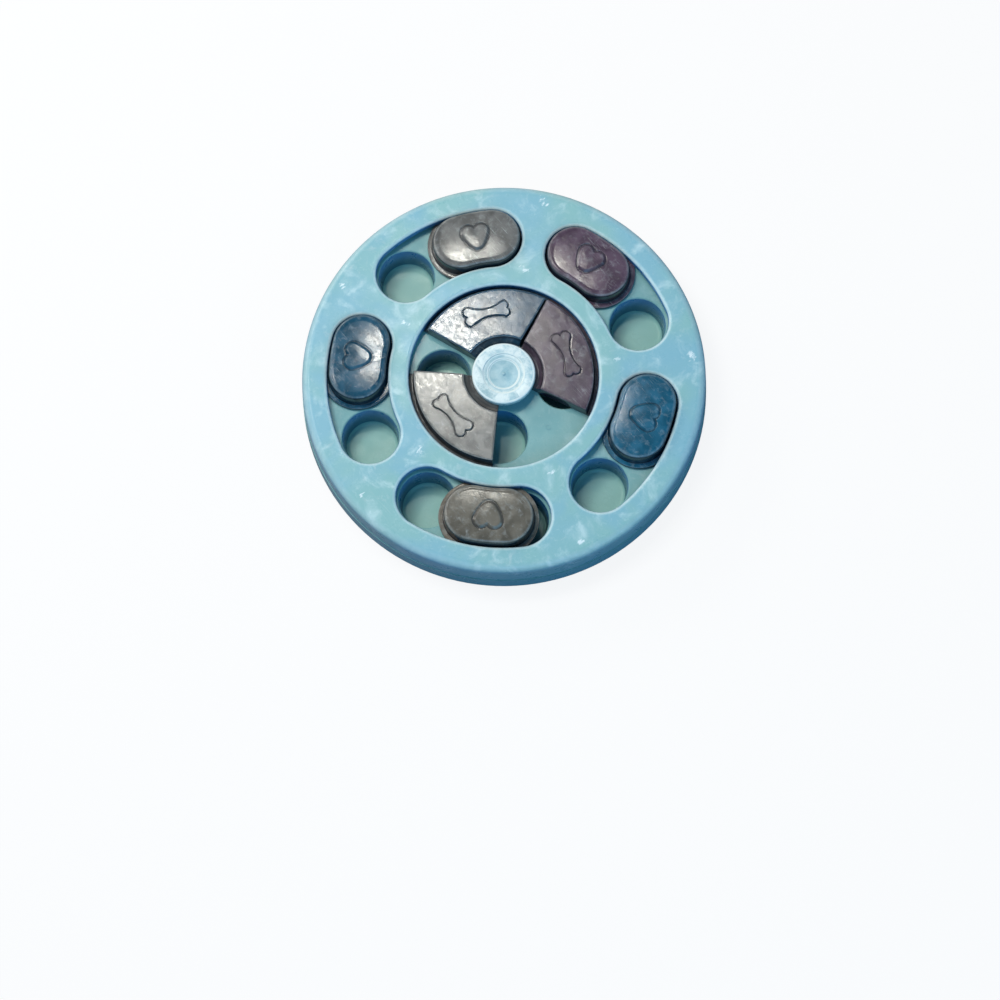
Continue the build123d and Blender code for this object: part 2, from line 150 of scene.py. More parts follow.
# ---------------------------------------------------------------- sizes and colours a user may change
def length(name, description, millimetres):
    return bpy.props.FloatProperty(
        name=name,
        description=description,
        default=millimetres * MM,
        unit="LENGTH",
        subtype="DISTANCE",
        precision=4,
    )


def angle(name, description, degrees):
    return bpy.props.FloatProperty(
        name=name, description=description, default=math.radians(degrees), unit="ROTATION", subtype="ANGLE"
    )


def linear(channel):
    """One sRGB channel, 0 to 255, as the linear value that Blender's colours hold."""
    share = channel / 255
    return share / 12.92 if share <= 0.04045 else ((share + 0.055) / 1.055) ** 2.4


def colour(name, description, red, green, blue):
    return bpy.props.FloatVectorProperty(
        name=name,
        description=description,
        default=(linear(red), linear(green), linear(blue), 1),
        subtype="COLOR",
        size=4,
        min=0,
        max=1,
    )


class FeederCoverSizes(bpy.types.PropertyGroup):
    """The cover with its five slots and its window."""

    track_radius: length("Track radius", "Middle line of the rim slots", 87.3)
    slot_width: length("Slot width", "Width of a rim slot", 36.4)
    slot_lobe: angle("Slot reach", "From a slot's middle to the centre of its round end", 18.85)
    slot_start: angle("First slot", "Middle of the first rim slot, round from +X", 90)
    window_radius: length("Window radius", "Edge of the round window", 56.7)
    plate: length("Plate", "Thickness of the cover's top", 2.4)
    skirt_wall: length("Skirt", "Thickness of the skirt", 2.2)
    skirt_lean: length("Skirt lean", "How far the skirt leans in on its way up", 0.9)
    shoulder: length("Shoulder", "Round between the top and the skirt", 5.0)
    lip: length("Lip", "Round on the edges of the slots and the window", 2.2)
    guide_wall: length("Guide wall", "Walls under the cover round its openings", 2.0)
    wall_foot: length("Wall clearance", "From the deck up to the foot of those walls", 3.2)
    guide_rib: length("Guide rib", "Ribs that reach down to the deck beside the tracks", 1.7)
    rib_reach: length("Rib reach", "From the slots' edge to the ribs beside them", 4.3)
    window_rib: length("Window rib reach", "From the window's edge to the rib round it", 3.2)


class FeederRimCapSizes(bpy.types.PropertyGroup):
    """A kidney-shaped cap of the rim slots."""

    width: length("Width", "Width of the cap's body at its foot", 35.2)
    lobe: angle("Reach", "From the cap's middle to the centre of its round end", 6.3)
    flange_width: length("Flange width", "Width of the flange under the cover", 44.0)
    flange_lobe: angle("Flange reach", "From the flange's middle to the centre of its round end", 5.2)
    flange: length("Flange", "Thickness of the flange", 2.4)
    flange_round: length("Flange round", "Round on the flange's edge", 0.5)
    rise: length("Rise", "Top of the cap above the cover", 4.2)
    draft: angle("Draft", "Lean of the cap's sides", 5)
    round: length("Round", "Round on the cap's top edge", 2.0)
    shell: length("Shell", "Thickness of the moulded cap", 2.0)
    crown: length("Crown", "How much lower the top's edge is than its middle", 0.38)


class FeederHeartSizes(bpy.types.PropertyGroup):
    """The raised heart on a rim cap."""

    width: length("Width", "Width across the lobes", 17.6)
    reach: length("Length", "From the lobes to the point, before that is rounded", 18.8)
    lobe: length("Lobe radius", "Radius of the two lobes", 4.9)
    side: angle("Side", "How far a lobe runs on past its widest point", 18)
    point: length("Point", "Round on the heart's point", 5.2)
    inset: length("Inset", "Middle of the heart, inwards from the track", 1.0)
    rise: length("Rise", "Height of the heart", 0.9)
    slope: length("Slope", "How far the heart's side leans in on its way up", 1.5)
    pillow: length("Pillow", "Round on the heart's top edge", 0.9)
    swell: length("Swell", "Part of the height that is the crown of its top", 0.1)
    groove: length("Groove", "Width of the fine groove round it", 0.9)
    groove_depth: length("Groove depth", "Depth of that groove", 0.25)


class FeederSectorSizes(bpy.types.PropertyGroup):
    """A sector cap of the window."""

    outer: length("Outer radius", "Outer edge of a sector's top", 53.7)
    outer_foot: length("Outer foot", "Foot of its outer side", 54.4)
    flange: length("Flange radius", "Edge of the flange under the cover", 59.4)
    flange_rise: length("Flange", "Thickness of the flange", 2.4)
    inner: length("Inner radius", "Inner edge of a sector's top", 23.9)
    slope: length("Slope", "How far its inner side slopes in", 2.7)
    slope_drop: length("Slope drop", "How far that slope comes down", 3.2)
    tongue: length("Tongue radius", "End of the tongue under the hub", 16.6)
    half_angle: angle("Lean", "Lean of the straight sides from the middle line", 44.2)
    apex: length("Apex", "Where the two sides would meet, ahead of the axis", 1.7)
    corner: length("Corner", "Round on the corners seen from above", 0.7)
    round: length("Round", "Round on the top edges", 0.8)
    shell: length("Shell", "Thickness of the moulded cap", 2.0)
    bone_inset: length("Bone inset", "Middle line of the bone, in from the outer edge", 14.1)


class FeederBoneSizes(bpy.types.PropertyGroup):
    """The raised bone on a sector cap."""

    reach: length("Length", "From end to end", 28.0)
    knob: length("Knob", "Radius of the two knobs at the bigger end", 3.2)
    knob_pitch: length("Knob pitch", "Between their centres", 5.8)
    small_knob: length("Small knob", "Radius of the two knobs at the smaller end", 2.8)
    small_pitch: length("Small pitch", "Between their centres", 4.6)
    shaft: length("Shaft", "Width of the shaft at its middle", 5.3)
    waist: angle("Waist", "How far round a knob the shaft's side leaves it", 50)
    rise: length("Rise", "Height of the bone", 0.8)
    slope: length("Slope", "How far the bone's side leans in on its way up", 0.55)
    pillow: length("Pillow", "Round on the bone's top edge", 0.5)
    groove: length("Groove", "Width of the fine groove round it", 0.6)
    groove_depth: length("Groove depth", "Depth of that groove", 0.22)


class FeederHubSizes(bpy.types.PropertyGroup):
    """The hub that holds the sector caps down."""

    head: length("Head", "Thickness of the hub's head", 4.4)
    column: length("Column", "Radius of the column under the head", 15.9)
    shell: length("Shell", "Thickness of the moulded hub", 2.0)
    edge: length("Edge", "Round on the head's top edge", 1.2)
    step_radius: length("Step radius", "First step down in its top", 12.3)
    step: length("Step", "Depth of that step", 0.9)
    dish_radius: length("Dish radius", "Dish inside the step", 9.3)
    dish: length("Dish", "Depth of the dish", 0.8)
    nub_radius: length("Nub radius", "Gate mark in the middle", 0.9)
    nub: length("Nub", "Height of the gate mark", 0.5)


class FeederFootSizes(bpy.types.PropertyGroup):
    """A rubber foot."""

    edge: length("Edge", "Round on the foot's edge", 0.4)
    groove: length("Groove", "Width of the grooves in its face", 0.5)
    groove_depth: length("Groove depth", "Depth of those grooves", 0.3)


class FeederColours(bpy.types.PropertyGroup):
    """Colours of the mouldings, the screws and the feet."""

    cover: colour("Cover", "Aqua plastic of the cover", 136, 184, 196)
    cover_green: colour("Cover, greener", "The greener shade that the aqua drifts to", 142, 188, 186)
    tray: colour("Tray", "Aqua plastic of the tray", 126, 172, 170)
    # Painted shade: the deeper colour given to upright walls in the openings, the wells and under the hub's
    # head.
    wall_shade: colour("Well walls", "Deeper shade in the wells", 0, 112, 178)
    # Painted shade, darker still where the well walls meet the floors.
    wall_foot_shade: colour("Foot of the well walls", "Darker shade where the walls meet the floors", 62, 110, 108)
    # Painted light: the lighter, greyer colour painted on the wells' floors.
    sunk_floor_light: colour("Well floors", "Greyer shade on the wells' floors", 154, 202, 190)
    hub: colour("Hub", "Paler aqua of the hub", 112, 160, 168)
    # Also the colour of the cover's worn edges, which carry a painted highlight.
    pale: colour("Marbling", "Pale streaks in the plastic", 214, 234, 234)
    # Also the colour of the caps' worn edges, which carry a painted highlight.
    scuff: colour("Scuffs", "Whitish scuffs and worn edges", 226, 230, 226)
    # Soiling and painted shade in creases, and painted shade on the caps' upright sides.
    grime_and_shade: colour("Grime", "Dirt in creases", 22, 24, 28)
    cap_purple: colour("Rim cap 1", "Dusky purple", 74, 54, 66)
    cap_grey: colour("Rim cap 2", "Warm grey", 92, 88, 83)
    cap_blue: colour("Rim cap 3", "Slate blue", 2, 60, 80)
    cap_taupe: colour("Rim cap 4", "Taupe", 92, 84, 72)
    cap_teal: colour("Rim cap 5", "Teal blue", 12, 76, 98)
    sector_blue: colour("Sector 1", "Steel blue", 2, 54, 76)
    sector_grey: colour("Sector 2", "Warm grey", 102, 98, 93)
    sector_purple: colour("Sector 3", "Plum", 68, 52, 62)
    screw: colour("Screws", "Zinc plate", 200, 200, 202)
    foot: colour("Feet", "Dark rubber", 46, 47, 50)


SIZE_GROUPS = {
    "feeder_cover": FeederCoverSizes,
    "feeder_rim_cap": FeederRimCapSizes,
    "feeder_heart": FeederHeartSizes,
    "feeder_sector": FeederSectorSizes,
    "feeder_bone": FeederBoneSizes,
    "feeder_hub": FeederHubSizes,
    "feeder_foot": FeederFootSizes,
    "feeder_colours": FeederColours,
}


# ---------------------------------------------------------------- node helpers
def add_node(tree, kind, inputs=None, **settings):
    """A node with its settings made and its inputs given as numbers or as other nodes' outputs."""
    node = tree.nodes.new(kind)
    node.location = (200 * len(tree.nodes), 0)
    for name, value in settings.items():
        setattr(node, name, value)
    for key, value in (inputs or {}).items():
        if isinstance(value, bpy.types.NodeSocket):
            tree.links.new(value, node.inputs[key])
        else:
            node.inputs[key].default_value = value
    return node


def calculate(tree, operation, first, second=0.0, third=0.0):
    node = add_node(tree, "ShaderNodeMath", {0: first, 1: second, 2: third}, operation=operation)
    return node.outputs[0]


def remap(tree, value, from_low, from_high, to_low=0.0, to_high=1.0):
    """The value's range stretched to another one, smoothly, and kept inside it."""
    inputs = {"Value": value, "From Min": from_low, "From Max": from_high, "To Min": to_low, "To Max": to_high}
    return add_node(tree, "ShaderNodeMapRange", inputs, interpolation_type="SMOOTHSTEP").outputs[0]


def times(tree, first, second):
    return calculate(tree, "MULTIPLY", first, second)


def mix_colour(tree, share, first, second):
    return add_node(tree, "ShaderNodeMix", {0: share, 6: first, 7: second}, data_type="RGBA").outputs[2]


def components(tree, vector):
    return add_node(tree, "ShaderNodeSeparateXYZ", {0: vector}).outputs


def distance(tree, across, along):
    """How far it is by so much across and so much along."""
    flat = add_node(tree, "ShaderNodeCombineXYZ", {0: across, 1: along}).outputs[0]
    return add_node(tree, "ShaderNodeVectorMath", {0: flat}, operation="LENGTH").outputs["Value"]


def rise_of_face(tree):
    """How far a face looks up: 1 for a level one, 0 for an upright one, -1 for one that looks down."""
    return components(tree, add_node(tree, "ShaderNodeNewGeometry").outputs["Normal"])[2]


def noise(tree, vector, scale, detail=4.0, roughness=0.55, distortion=0.0):
    inputs = {"Vector": vector, "Scale": scale, "Detail": detail, "Roughness": roughness}
    inputs["Distortion"] = distortion
    return add_node(tree, "ShaderNodeTexNoise", inputs, noise_dimensions="3D").outputs["Fac"]


def new_group(name, kind, inputs, outputs):
    """A node group with the given sockets: (name, kind, default) for inputs and (name, kind) for outputs."""
    group = bpy.data.node_groups.new(name, kind)
    for title, socket, default in inputs:
        made = group.interface.new_socket(title, in_out="INPUT", socket_type="NodeSocket" + socket)
        if default is not None:
            made.default_value = default
    for title, socket in outputs:
        group.interface.new_socket(title, in_out="OUTPUT", socket_type="NodeSocket" + socket)
    start = group.nodes.new("NodeGroupInput")
    end = group.nodes.new("NodeGroupOutput")
    end.location = (4000, 0)
    return group, start, end


# ---------------------------------------------------------------- effects that several finishes share
def marbling_group():
    """Two shades of one plastic that drift into each other, with pale streaks."""
    group, start, end = new_group(
        "Marbled plastic",
        "ShaderNodeTree",
        [
            ("Vector", "Vector", None),
            ("Color", "Color", (0.2, 0.5, 0.6, 1)),
            ("Second", "Color", (0.3, 0.5, 0.5, 1)),
            ("Pale", "Color", (0.7, 0.8, 0.8, 1)),
            ("Scale", "Float", 30.0),
            ("Streaks", "Float", 0.3),
        ],
        [("Color", "Color"), ("Mask", "Float")],
    )
    vector = start.outputs["Vector"]
    scale = start.outputs["Scale"]
    drift = remap(group, noise(group, vector, scale, 2, 0.5, 0.4), 0.35, 0.65)
    shade = mix_colour(group, drift, start.outputs["Color"], start.outputs["Second"])
    fine = times(group, scale, 2.4)
    smear = remap(group, noise(group, vector, fine, 5, 0.62, 0.5), 0.5, 0.78)
    finest = times(group, scale, 13.0)
    fleck = remap(group, noise(group, vector, finest, 3, 0.6, 0.8), 0.56, 0.72, 0.0, 0.6)
    both = calculate(group, "MAXIMUM", smear, times(group, fleck, smear))
    speckled = calculate(group, "MULTIPLY_ADD", fleck, 0.35, both)
    mask = times(group, speckled, start.outputs["Streaks"])
    final = mix_colour(group, mask, shade, start.outputs["Pale"])
    group.links.new(final, end.inputs["Color"])
    group.links.new(mask, end.inputs["Mask"])
    return group


def scuff_group():
    """Fine scratches in patches, and small rubbed spots."""
    group, start, end = new_group(
        "Scuffs",
        "ShaderNodeTree",
        [
            ("Vector", "Vector", None),
            ("Scale", "Float", 60.0),
            ("Scratches", "Float", 0.5),
            ("Rubbing", "Float", 0.5),
        ],
        [("Mask", "Float"), ("Height", "Float")],
    )
    vector = start.outputs["Vector"]
    scale = start.outputs["Scale"]
    lines = None
    for turn, stretch in ((0.5, 22), (1.7, 30), (2.6, 26)):
        placed = add_node(
            group,
            "ShaderNodeMapping",
            {"Vector": vector, "Rotation": (0.2, 0.1, turn), "Scale": (1, stretch, 4)},
        ).outputs[0]
        warped = noise(group, placed, scale, 2, 0.5, 0.25)
        line = remap(group, warped, 0.66, 0.74)
        lines = line if lines is None else calculate(group, "MAXIMUM", lines, line)
    patch = remap(group, noise(group, vector, times(group, scale, 0.55), 3, 0.5, 0.3), 0.46, 0.68)
    scratches = times(group, lines, patch)
    rub = remap(group, noise(group, vector, times(group, scale, 2.3), 7, 0.7, 0.6), 0.56, 0.78)
    scratch_mask = times(group, scratches, start.outputs["Scratches"])
    rub_mask = times(group, rub, start.outputs["Rubbing"])
    mask = calculate(group, "MAXIMUM", scratch_mask, rub_mask)
    height = times(group, scratch_mask, -1.0)
    group.links.new(mask, end.inputs["Mask"])
    group.links.new(height, end.inputs["Height"])
    return group


def moulded_skin_group():
    """The slow waviness and fine grain of a moulded plastic surface, as a height."""
    group, start, end = new_group(
        "Moulded skin",
        "ShaderNodeTree",
        [("Vector", "Vector", None), ("Waviness", "Float", 0.5), ("Grain", "Float", 0.2)],
        [("Height", "Float")],
    )
    vector = start.outputs["Vector"]
    wave = times(group, noise(group, vector, 90.0, 2, 0.5), start.outputs["Waviness"])
    grain = times(group, noise(group, vector, 1400.0, 3, 0.6), start.outputs["Grain"])
    group.links.new(calculate(group, "ADD", wave, grain), end.inputs["Height"])
    return group


def glint_spot_group():
    """A mask of small ragged spots on a ring, over the ribs and posts behind a moulded plate, for painted
    glints.
    """
    group, start, end = new_group(
        "Glint spots",
        "ShaderNodeTree",
        [
            ("Vector", "Vector", None),
            ("Ring", "Float", 0.067),
            ("Count", "Float", 5.0),
            ("First", "Float", 0.94),
            ("Reach", "Float", 0.003),
        ],
        [("Mask", "Float")],
    )
    vector = start.outputs["Vector"]
    reach = start.outputs["Reach"]
    x, y, _ = components(group, vector)
    radius = distance(group, x, y)
    pitch = calculate(group, "DIVIDE", math.tau, start.outputs["Count"])
    half = times(group, pitch, 0.5)
    past_first = calculate(group, "SUBTRACT", calculate(group, "ARCTAN2", y, x), start.outputs["First"])
    turn = calculate(group, "FLOORED_MODULO", calculate(group, "ADD", past_first, half), pitch)
    folded = calculate(group, "SUBTRACT", turn, half)
    across = times(group, folded, radius)
    along = calculate(group, "SUBTRACT", radius, start.outputs["Ring"])
    away = distance(group, across, along)
    smeared = {"Vector": vector, "Rotation": (0, 0, 0.7), "Scale": (1, 0.45, 1)}
    ragged = noise(group, add_node(group, "ShaderNodeMapping", smeared).outputs[0], 420.0, 3, 0.6, 0.3)
    wobble = calculate(group, "MULTIPLY_ADD", ragged, -0.016, calculate(group, "ADD", away, 0.0095))
    mask = remap(group, wobble, reach, times(group, reach, 0.3))
    group.links.new(mask, end.inputs["Mask"])
    return group


GROUPS = {}


def use_group(tree, name, inputs):
    """One of the shared effects in a material, with the material's own values."""
    makers = {
        "Marbled plastic": marbling_group,
        "Scuffs": scuff_group,
        "Moulded skin": moulded_skin_group,
        "Glint spots": glint_spot_group,
    }
    if name not in GROUPS:
        GROUPS[name] = makers[name]()
    return add_node(tree, "ShaderNodeGroup", inputs, node_tree=GROUPS[name])


# ---------------------------------------------------------------- finishes
def new_material(name):
    material = bpy.data.materials.new(name)
    material.use_nodes = True
    tree = material.node_tree
    tree.nodes.clear()
    output = tree.nodes.new("ShaderNodeOutputMaterial")
    surface = tree.nodes.new("ShaderNodeBsdfPrincipled")
    tree.links.new(surface.outputs[0], output.inputs["Surface"])
    return material, tree, surface


def object_vector(tree):
    return add_node(tree, "ShaderNodeTexCoord").outputs["Object"]


def finish_plastic(
    tree, surface, vector, shade, scuffs, wear_and_highlight, grime_and_shade, colours, gloss, skin,
    bump=SKIN_DEPTH, whole=0.25, worn=None,
):
    """Scuffs, worn edges with a painted highlight along them, and soiling with painted shade, over a colour, on
    glossy moulded plastic.  Whole is the share of an edge's pale line that is there all along it, and worn is
    the edge's colour where it isn't that of the scuffs."""
    scuffed = mix_colour(tree, scuffs.outputs["Mask"], shade, tuple(colours.scuff))
    if wear_and_highlight is not None:
        broken = remap(tree, noise(tree, vector, 160.0, 5, 0.7), 0.36, 0.62, whole, 1.0)
        scuffed = mix_colour(tree, times(tree, wear_and_highlight, broken), scuffed, tuple(worn or colours.scuff))
    if grime_and_shade is not None:
        scuffed = mix_colour(tree, grime_and_shade, scuffed, tuple(colours.grime_and_shade))
    tree.links.new(scuffed, surface.inputs["Base Color"])
    matt = calculate(tree, "MULTIPLY_ADD", scuffs.outputs["Mask"], 0.3, gloss)
    tree.links.new(matt, surface.inputs["Roughness"])
    height = calculate(tree, "ADD", skin.outputs["Height"], scuffs.outputs["Height"])
    normal = add_node(tree, "ShaderNodeBump", {"Strength": 1.0, "Distance": bump, "Height": height}).outputs[0]
    tree.links.new(normal, surface.inputs["Normal"])


def attribute(tree, name):
    return add_node(tree, "ShaderNodeAttribute", attribute_name=name).outputs["Fac"]


def cap_material(name, base, colours, seed):
    """Glossy dark plastic, mottled and scuffed, with paler worn edges that carry a painted highlight, soiling
    and painted shade in its creases, and painted shade on its upright sides.
    """
    material, tree, surface = new_material(name)
    offset = (0.11 * seed, 0.07 * seed, 0.0)
    vector = add_node(tree, "ShaderNodeMapping", {"Vector": object_vector(tree), "Location": offset}).outputs[0]
    lighter = [min(1, channel * 1.5 + 0.012) for channel in base[:3]] + [1]
    marble = use_group(
        tree,
        "Marbled plastic",
        {
            "Vector": vector,
            "Color": tuple(base),
            "Second": lighter,
            "Pale": tuple(colours.scuff),
            "Scale": 110.0,
            "Streaks": 0.16,
        },
    )
    scuffs = use_group(tree, "Scuffs", {"Vector": vector, "Scale": 90.0, "Scratches": 0.35, "Rubbing": 0.24})
    skin = use_group(tree, "Moulded skin", {"Vector": vector, "Waviness": 0.8, "Grain": 0.12})
    # Worn edges, which also paint a faint highlight.
    wear_and_highlight = times(tree, attribute(tree, "wear_and_highlight"), 0.16)
    # Painted shade: upright sides are mixed towards the dark crease colour, on top of the crease mask.
    shaded = remap(tree, rise_of_face(tree), 0.8, 0.35, 0.0, 0.85)
    grime_and_shade = calculate(tree, "MAXIMUM", times(tree, attribute(tree, "grime_and_shade"), 0.95), shaded)
    patchy = noise(tree, vector, 420.0, 6, 0.72, 0.3)
    rough = remap(tree, patchy, 0.32, 0.68, 0.1, 0.22)
    finish_plastic(tree, surface, vector, marble.outputs["Color"], scuffs, wear_and_highlight, grime_and_shade, colours, rough, skin)
    surface.inputs["Specular IOR Level"].default_value = 0.5
    surface.inputs["Coat Weight"].default_value = 0.12
    surface.inputs["Coat Roughness"].default_value = 0.14
    return material


def aqua_material(name, colours, base, second, streaks, worn=True):
    """Pale aqua plastic with white marbling and soft scuffs, and with pale worn edges that also paint a
    highlight along the lips.  Gives the colour as well, to be painted over."""
    material, tree, surface = new_material(name)
    vector = object_vector(tree)
    marble = use_group(
        tree,
        "Marbled plastic",
        {
            "Vector": vector,
            "Color": tuple(base),
            "Second": tuple(second),
            "Pale": tuple(colours.pale),
            "Scale": 26.0,
            "Streaks": streaks,
        },
    )
    scratches = 0.12 if worn else 0.0
    marks = {"Vector": vector, "Scale": 48.0, "Scratches": scratches, "Rubbing": 0.3}
    scuffs = use_group(tree, "Scuffs", marks)
    skin = use_group(tree, "Moulded skin", {"Vector": vector, "Waviness": 0.8, "Grain": 0.04})
    # Worn edges, painted pale and mostly all along, which also stand for the highlight on the lips.
    wear_and_highlight = times(tree, attribute(tree, "wear_and_highlight"), 0.9) if worn else None
    rough = remap(tree, noise(tree, vector, 110.0, 5, 0.6), 0.3, 0.7, 0.24, 0.42)
    finish_plastic(
        tree, surface, vector, marble.outputs["Color"], scuffs, wear_and_highlight, None, colours, rough, skin,
        bump=SKIN_DEPTH if worn else CALM_SKIN_DEPTH, whole=0.6, worn=colours.pale,
    )
    surface.inputs["Specular IOR Level"].default_value = 0.4
    surface.inputs["Coat Weight"].default_value = 0.08
    surface.inputs["Coat Roughness"].default_value = 0.15
    return material, tree, surface, vector, surface.inputs["Base Color"].links[0].from_socket


def paint_wall_shade(tree, vector, shade, colours, amount):
    """Paints shade on upright faces as a deeper colour, most of all inside the disc.  Gives both masks and the
    height too.
    """
    x, y, height = components(tree, vector)
    upright = remap(tree, calculate(tree, "ABSOLUTE", rise_of_face(tree)), 0.7, 0.2)
    inside = remap(tree, distance(tree, x, y), COVER_RADIUS - 5 * MM, COVER_RADIUS - 8 * MM)
    share = calculate(tree, "MULTIPLY_ADD", inside, amount - 0.3, 0.3)
    mask = times(tree, upright, share)
    return mix_colour(tree, mask, shade, tuple(colours.wall_shade)), upright, inside, height


def cover_material(colours):
    """The cover's aqua, with painted glints as ragged white spots over the posts behind it, and painted shade
    on the walls of its openings.
    """
    made = aqua_material("cover_plastic", colours, colours.cover, colours.cover_green, 0.75)
    material, tree, surface, vector, shade = made
    # Painted glints: ragged white spots on two rings over the posts behind the plate.
    for ring, first in ((0.0675, 0.98), (0.1123, 0.94)):
        marks = use_group(tree, "Glint spots", {"Vector": vector, "Ring": ring, "First": first, "Reach": 0.0034})
        shade = mix_colour(tree, times(tree, marks.outputs[0], 0.85), shade, GLINT_WHITE)
    # Painted shade on the walls of the openings.
    shade, *_ = paint_wall_shade(tree, vector, shade, colours, 0.85)
    tree.links.new(shade, surface.inputs["Base Color"])
    return material


def tray_material(colours):
    """The tray's aqua, with painted shade on the walls of the wells, darker at their feet, and painted light
    that makes their floors lighter and greyer.
    """
    made = aqua_material("tray_plastic", colours, colours.tray, colours.tray, 0.3, worn=False)
    material, tree, surface, vector, shade = made
    # Painted shade on the walls of the wells.
    shade, upright, inside, height = paint_wall_shade(tree, vector, shade, colours, 0.8)
    # Painted shade, darker at the feet of the well walls.
    lower = times(tree, remap(tree, height, DECK - 2 * MM, DECK - 15 * MM), inside)
    foot = times(tree, times(tree, lower, upright), 0.7)
    shade = mix_colour(tree, foot, shade, tuple(colours.wall_foot_shade))
    # Painted light: the wells' floors painted lighter and greyer.
    sunk = times(tree, remap(tree, height, DECK - 8 * MM, DECK - 17 * MM), inside)
    floor = times(tree, sunk, calculate(tree, "SUBTRACT", 1.0, upright))
    final = mix_colour(tree, times(tree, floor, 0.8), shade, tuple(colours.sunk_floor_light))
    tree.links.new(final, surface.inputs["Base Color"])
    return material


def hub_material(colours, rings, under):
    """The hub's paler aqua, mottled on its head, with painted highlights as white rings on its steps and
    painted shade below the head.
    """
    made = aqua_material("hub_plastic", colours, colours.hub, colours.cover, 0.5, worn=False)
    material, tree, surface, vector, shade = made
    x, y, height = components(tree, vector)
    radius = distance(tree, x, y)
    blotch = remap(tree, noise(tree, vector, 150.0, 6, 0.72, 0.4), 0.3, 0.62, 0.15, 1.0)
    outer = remap(tree, radius, rings[0], rings[1])
    mask = times(tree, blotch, calculate(tree, "MULTIPLY_ADD", outer, 0.65, 0.35))
    # Painted highlights: white rings on the edges of the hub's steps.
    for ring in rings:
        away = calculate(tree, "ABSOLUTE", calculate(tree, "SUBTRACT", radius, ring))
        mask = calculate(tree, "MAXIMUM", mask, remap(tree, away, 1.3 * MM, 0.2 * MM, 0.0, 1.0))
    pale = mix_colour(tree, mask, shade, HUB_PALE)
    # Painted shade: below the head the column takes the wall shade colour.
    below = remap(tree, height, under + 0.6 * MM, under - 0.2 * MM)
    tree.links.new(mix_colour(tree, below, pale, tuple(colours.wall_shade)), surface.inputs["Base Color"])
    return material


def screw_material(colours):
    material, tree, surface = new_material("zinc_plate")
    vector = object_vector(tree)
    dull = remap(tree, noise(tree, vector, 900.0, 4, 0.6), 0.3, 0.7, 0.28, 0.5)
    tarnish = remap(tree, noise(tree, vector, 300.0, 3), 0.4, 0.7)
    tone = mix_colour(tree, tarnish, tuple(colours.screw), DULL_ZINC)
    tree.links.new(tone, surface.inputs["Base Color"])
    tree.links.new(dull, surface.inputs["Roughness"])
    surface.inputs["Metallic"].default_value = 1.0
    return material


def rubber_material(colours):
    material, tree, surface = new_material("foot_rubber")
    vector = object_vector(tree)
    dust = remap(tree, noise(tree, vector, 260.0, 5, 0.6), 0.5, 0.8, 0.0, 0.25)
    tone = mix_colour(tree, dust, tuple(colours.foot), tuple(colours.scuff))
    tree.links.new(tone, surface.inputs["Base Color"])
    grain = noise(tree, vector, 2500.0, 3, 0.6)
    bump = add_node(tree, "ShaderNodeBump", {"Strength": 0.5, "Distance": 0.0001, "Height": grain}).outputs[0]
    tree.links.new(bump, surface.inputs["Normal"])
    surface.inputs["Roughness"].default_value = 0.75
    return material


# ---------------------------------------------------------------- outlines and sections
def rounded(corners, steps=5):
    """Points of a line whose corners are rounded.  A corner is (across, up, radius): a positive radius is an
    outer edge, which wears and gets a painted highlight, a negative one is a crease, which holds soiling and
    painted shade."""
    points = []
    for index, (across, up, radius) in enumerate(corners):
        here = Vector((across, up))
        if radius == 0 or index in (0, len(corners) - 1):
            points.append((across, up, 0.0, 0.0))
            continue
        back = (Vector(corners[index - 1][:2]) - here).normalized()
        ahead = (Vector(corners[index + 1][:2]) - here).normalized()
        half = back.angle(ahead) / 2
        centre = here + (back + ahead).normalized() * abs(radius) / math.sin(half)
        first = here + back * abs(radius) / math.tan(half) - centre
        last = here + ahead * abs(radius) / math.tan(half) - centre
        turn = math.atan2(first.x * last.y - first.y * last.x, first.dot(last))
        for step in range(steps + 1):
            share = step / steps
            spot = centre + Matrix.Rotation(turn * share, 2) @ first
            worn = math.sin(math.pi * share)
            points.append((spot.x, spot.y, worn if radius > 0 else 0.0, worn if radius < 0 else 0.0))
    return points


def arc(centre, radius, start, end, steps):
    """Points round a centre, both ends counted."""
    angles = [start + (end - start) * step / steps for step in range(steps + 1)]
    return [Vector((centre[0] + radius * math.cos(a), centre[1] + radius * math.sin(a))) for a in angles]


def kidney(track, half_width, lobe, middle):
    """A kidney bent round the axis, anticlockwise, with round ends of its half width."""
    ends = arc((0, 0), track, middle - lobe, middle + lobe, 1)
    outer = arc((0, 0), track + half_width, middle - lobe, middle + lobe, 18)[:-1]
    far_end = arc(ends[1], half_width, middle + lobe, middle + lobe + math.pi, 28)[:-1]
    inner = arc((0, 0), track - half_width, middle + lobe, middle - lobe, 18)[:-1]
    near_end = arc(ends[0], half_width, middle - lobe + math.pi, middle - lobe + math.tau, 28)[:-1]
    return outer + far_end + inner + near_end


def circle(radius, count):
    return arc((0, 0), radius, 0, math.tau, count)[:-1]


def towards(middle, points, radius):
    """Points given across and outward, set at a radius and an angle round the axis."""
    out = Vector((math.cos(middle), math.sin(middle)))
    across = Vector((math.sin(middle), -math.cos(middle)))
    return [out * (radius + point.y) + across * point.x for point in points]


def mirrored(half):
    """A closed outline from its right half, which runs anticlockwise from one point on the middle to another
    and has both of them."""
    return half + [Vector((-point.x, point.y)) for point in reversed(half[1:-1])]


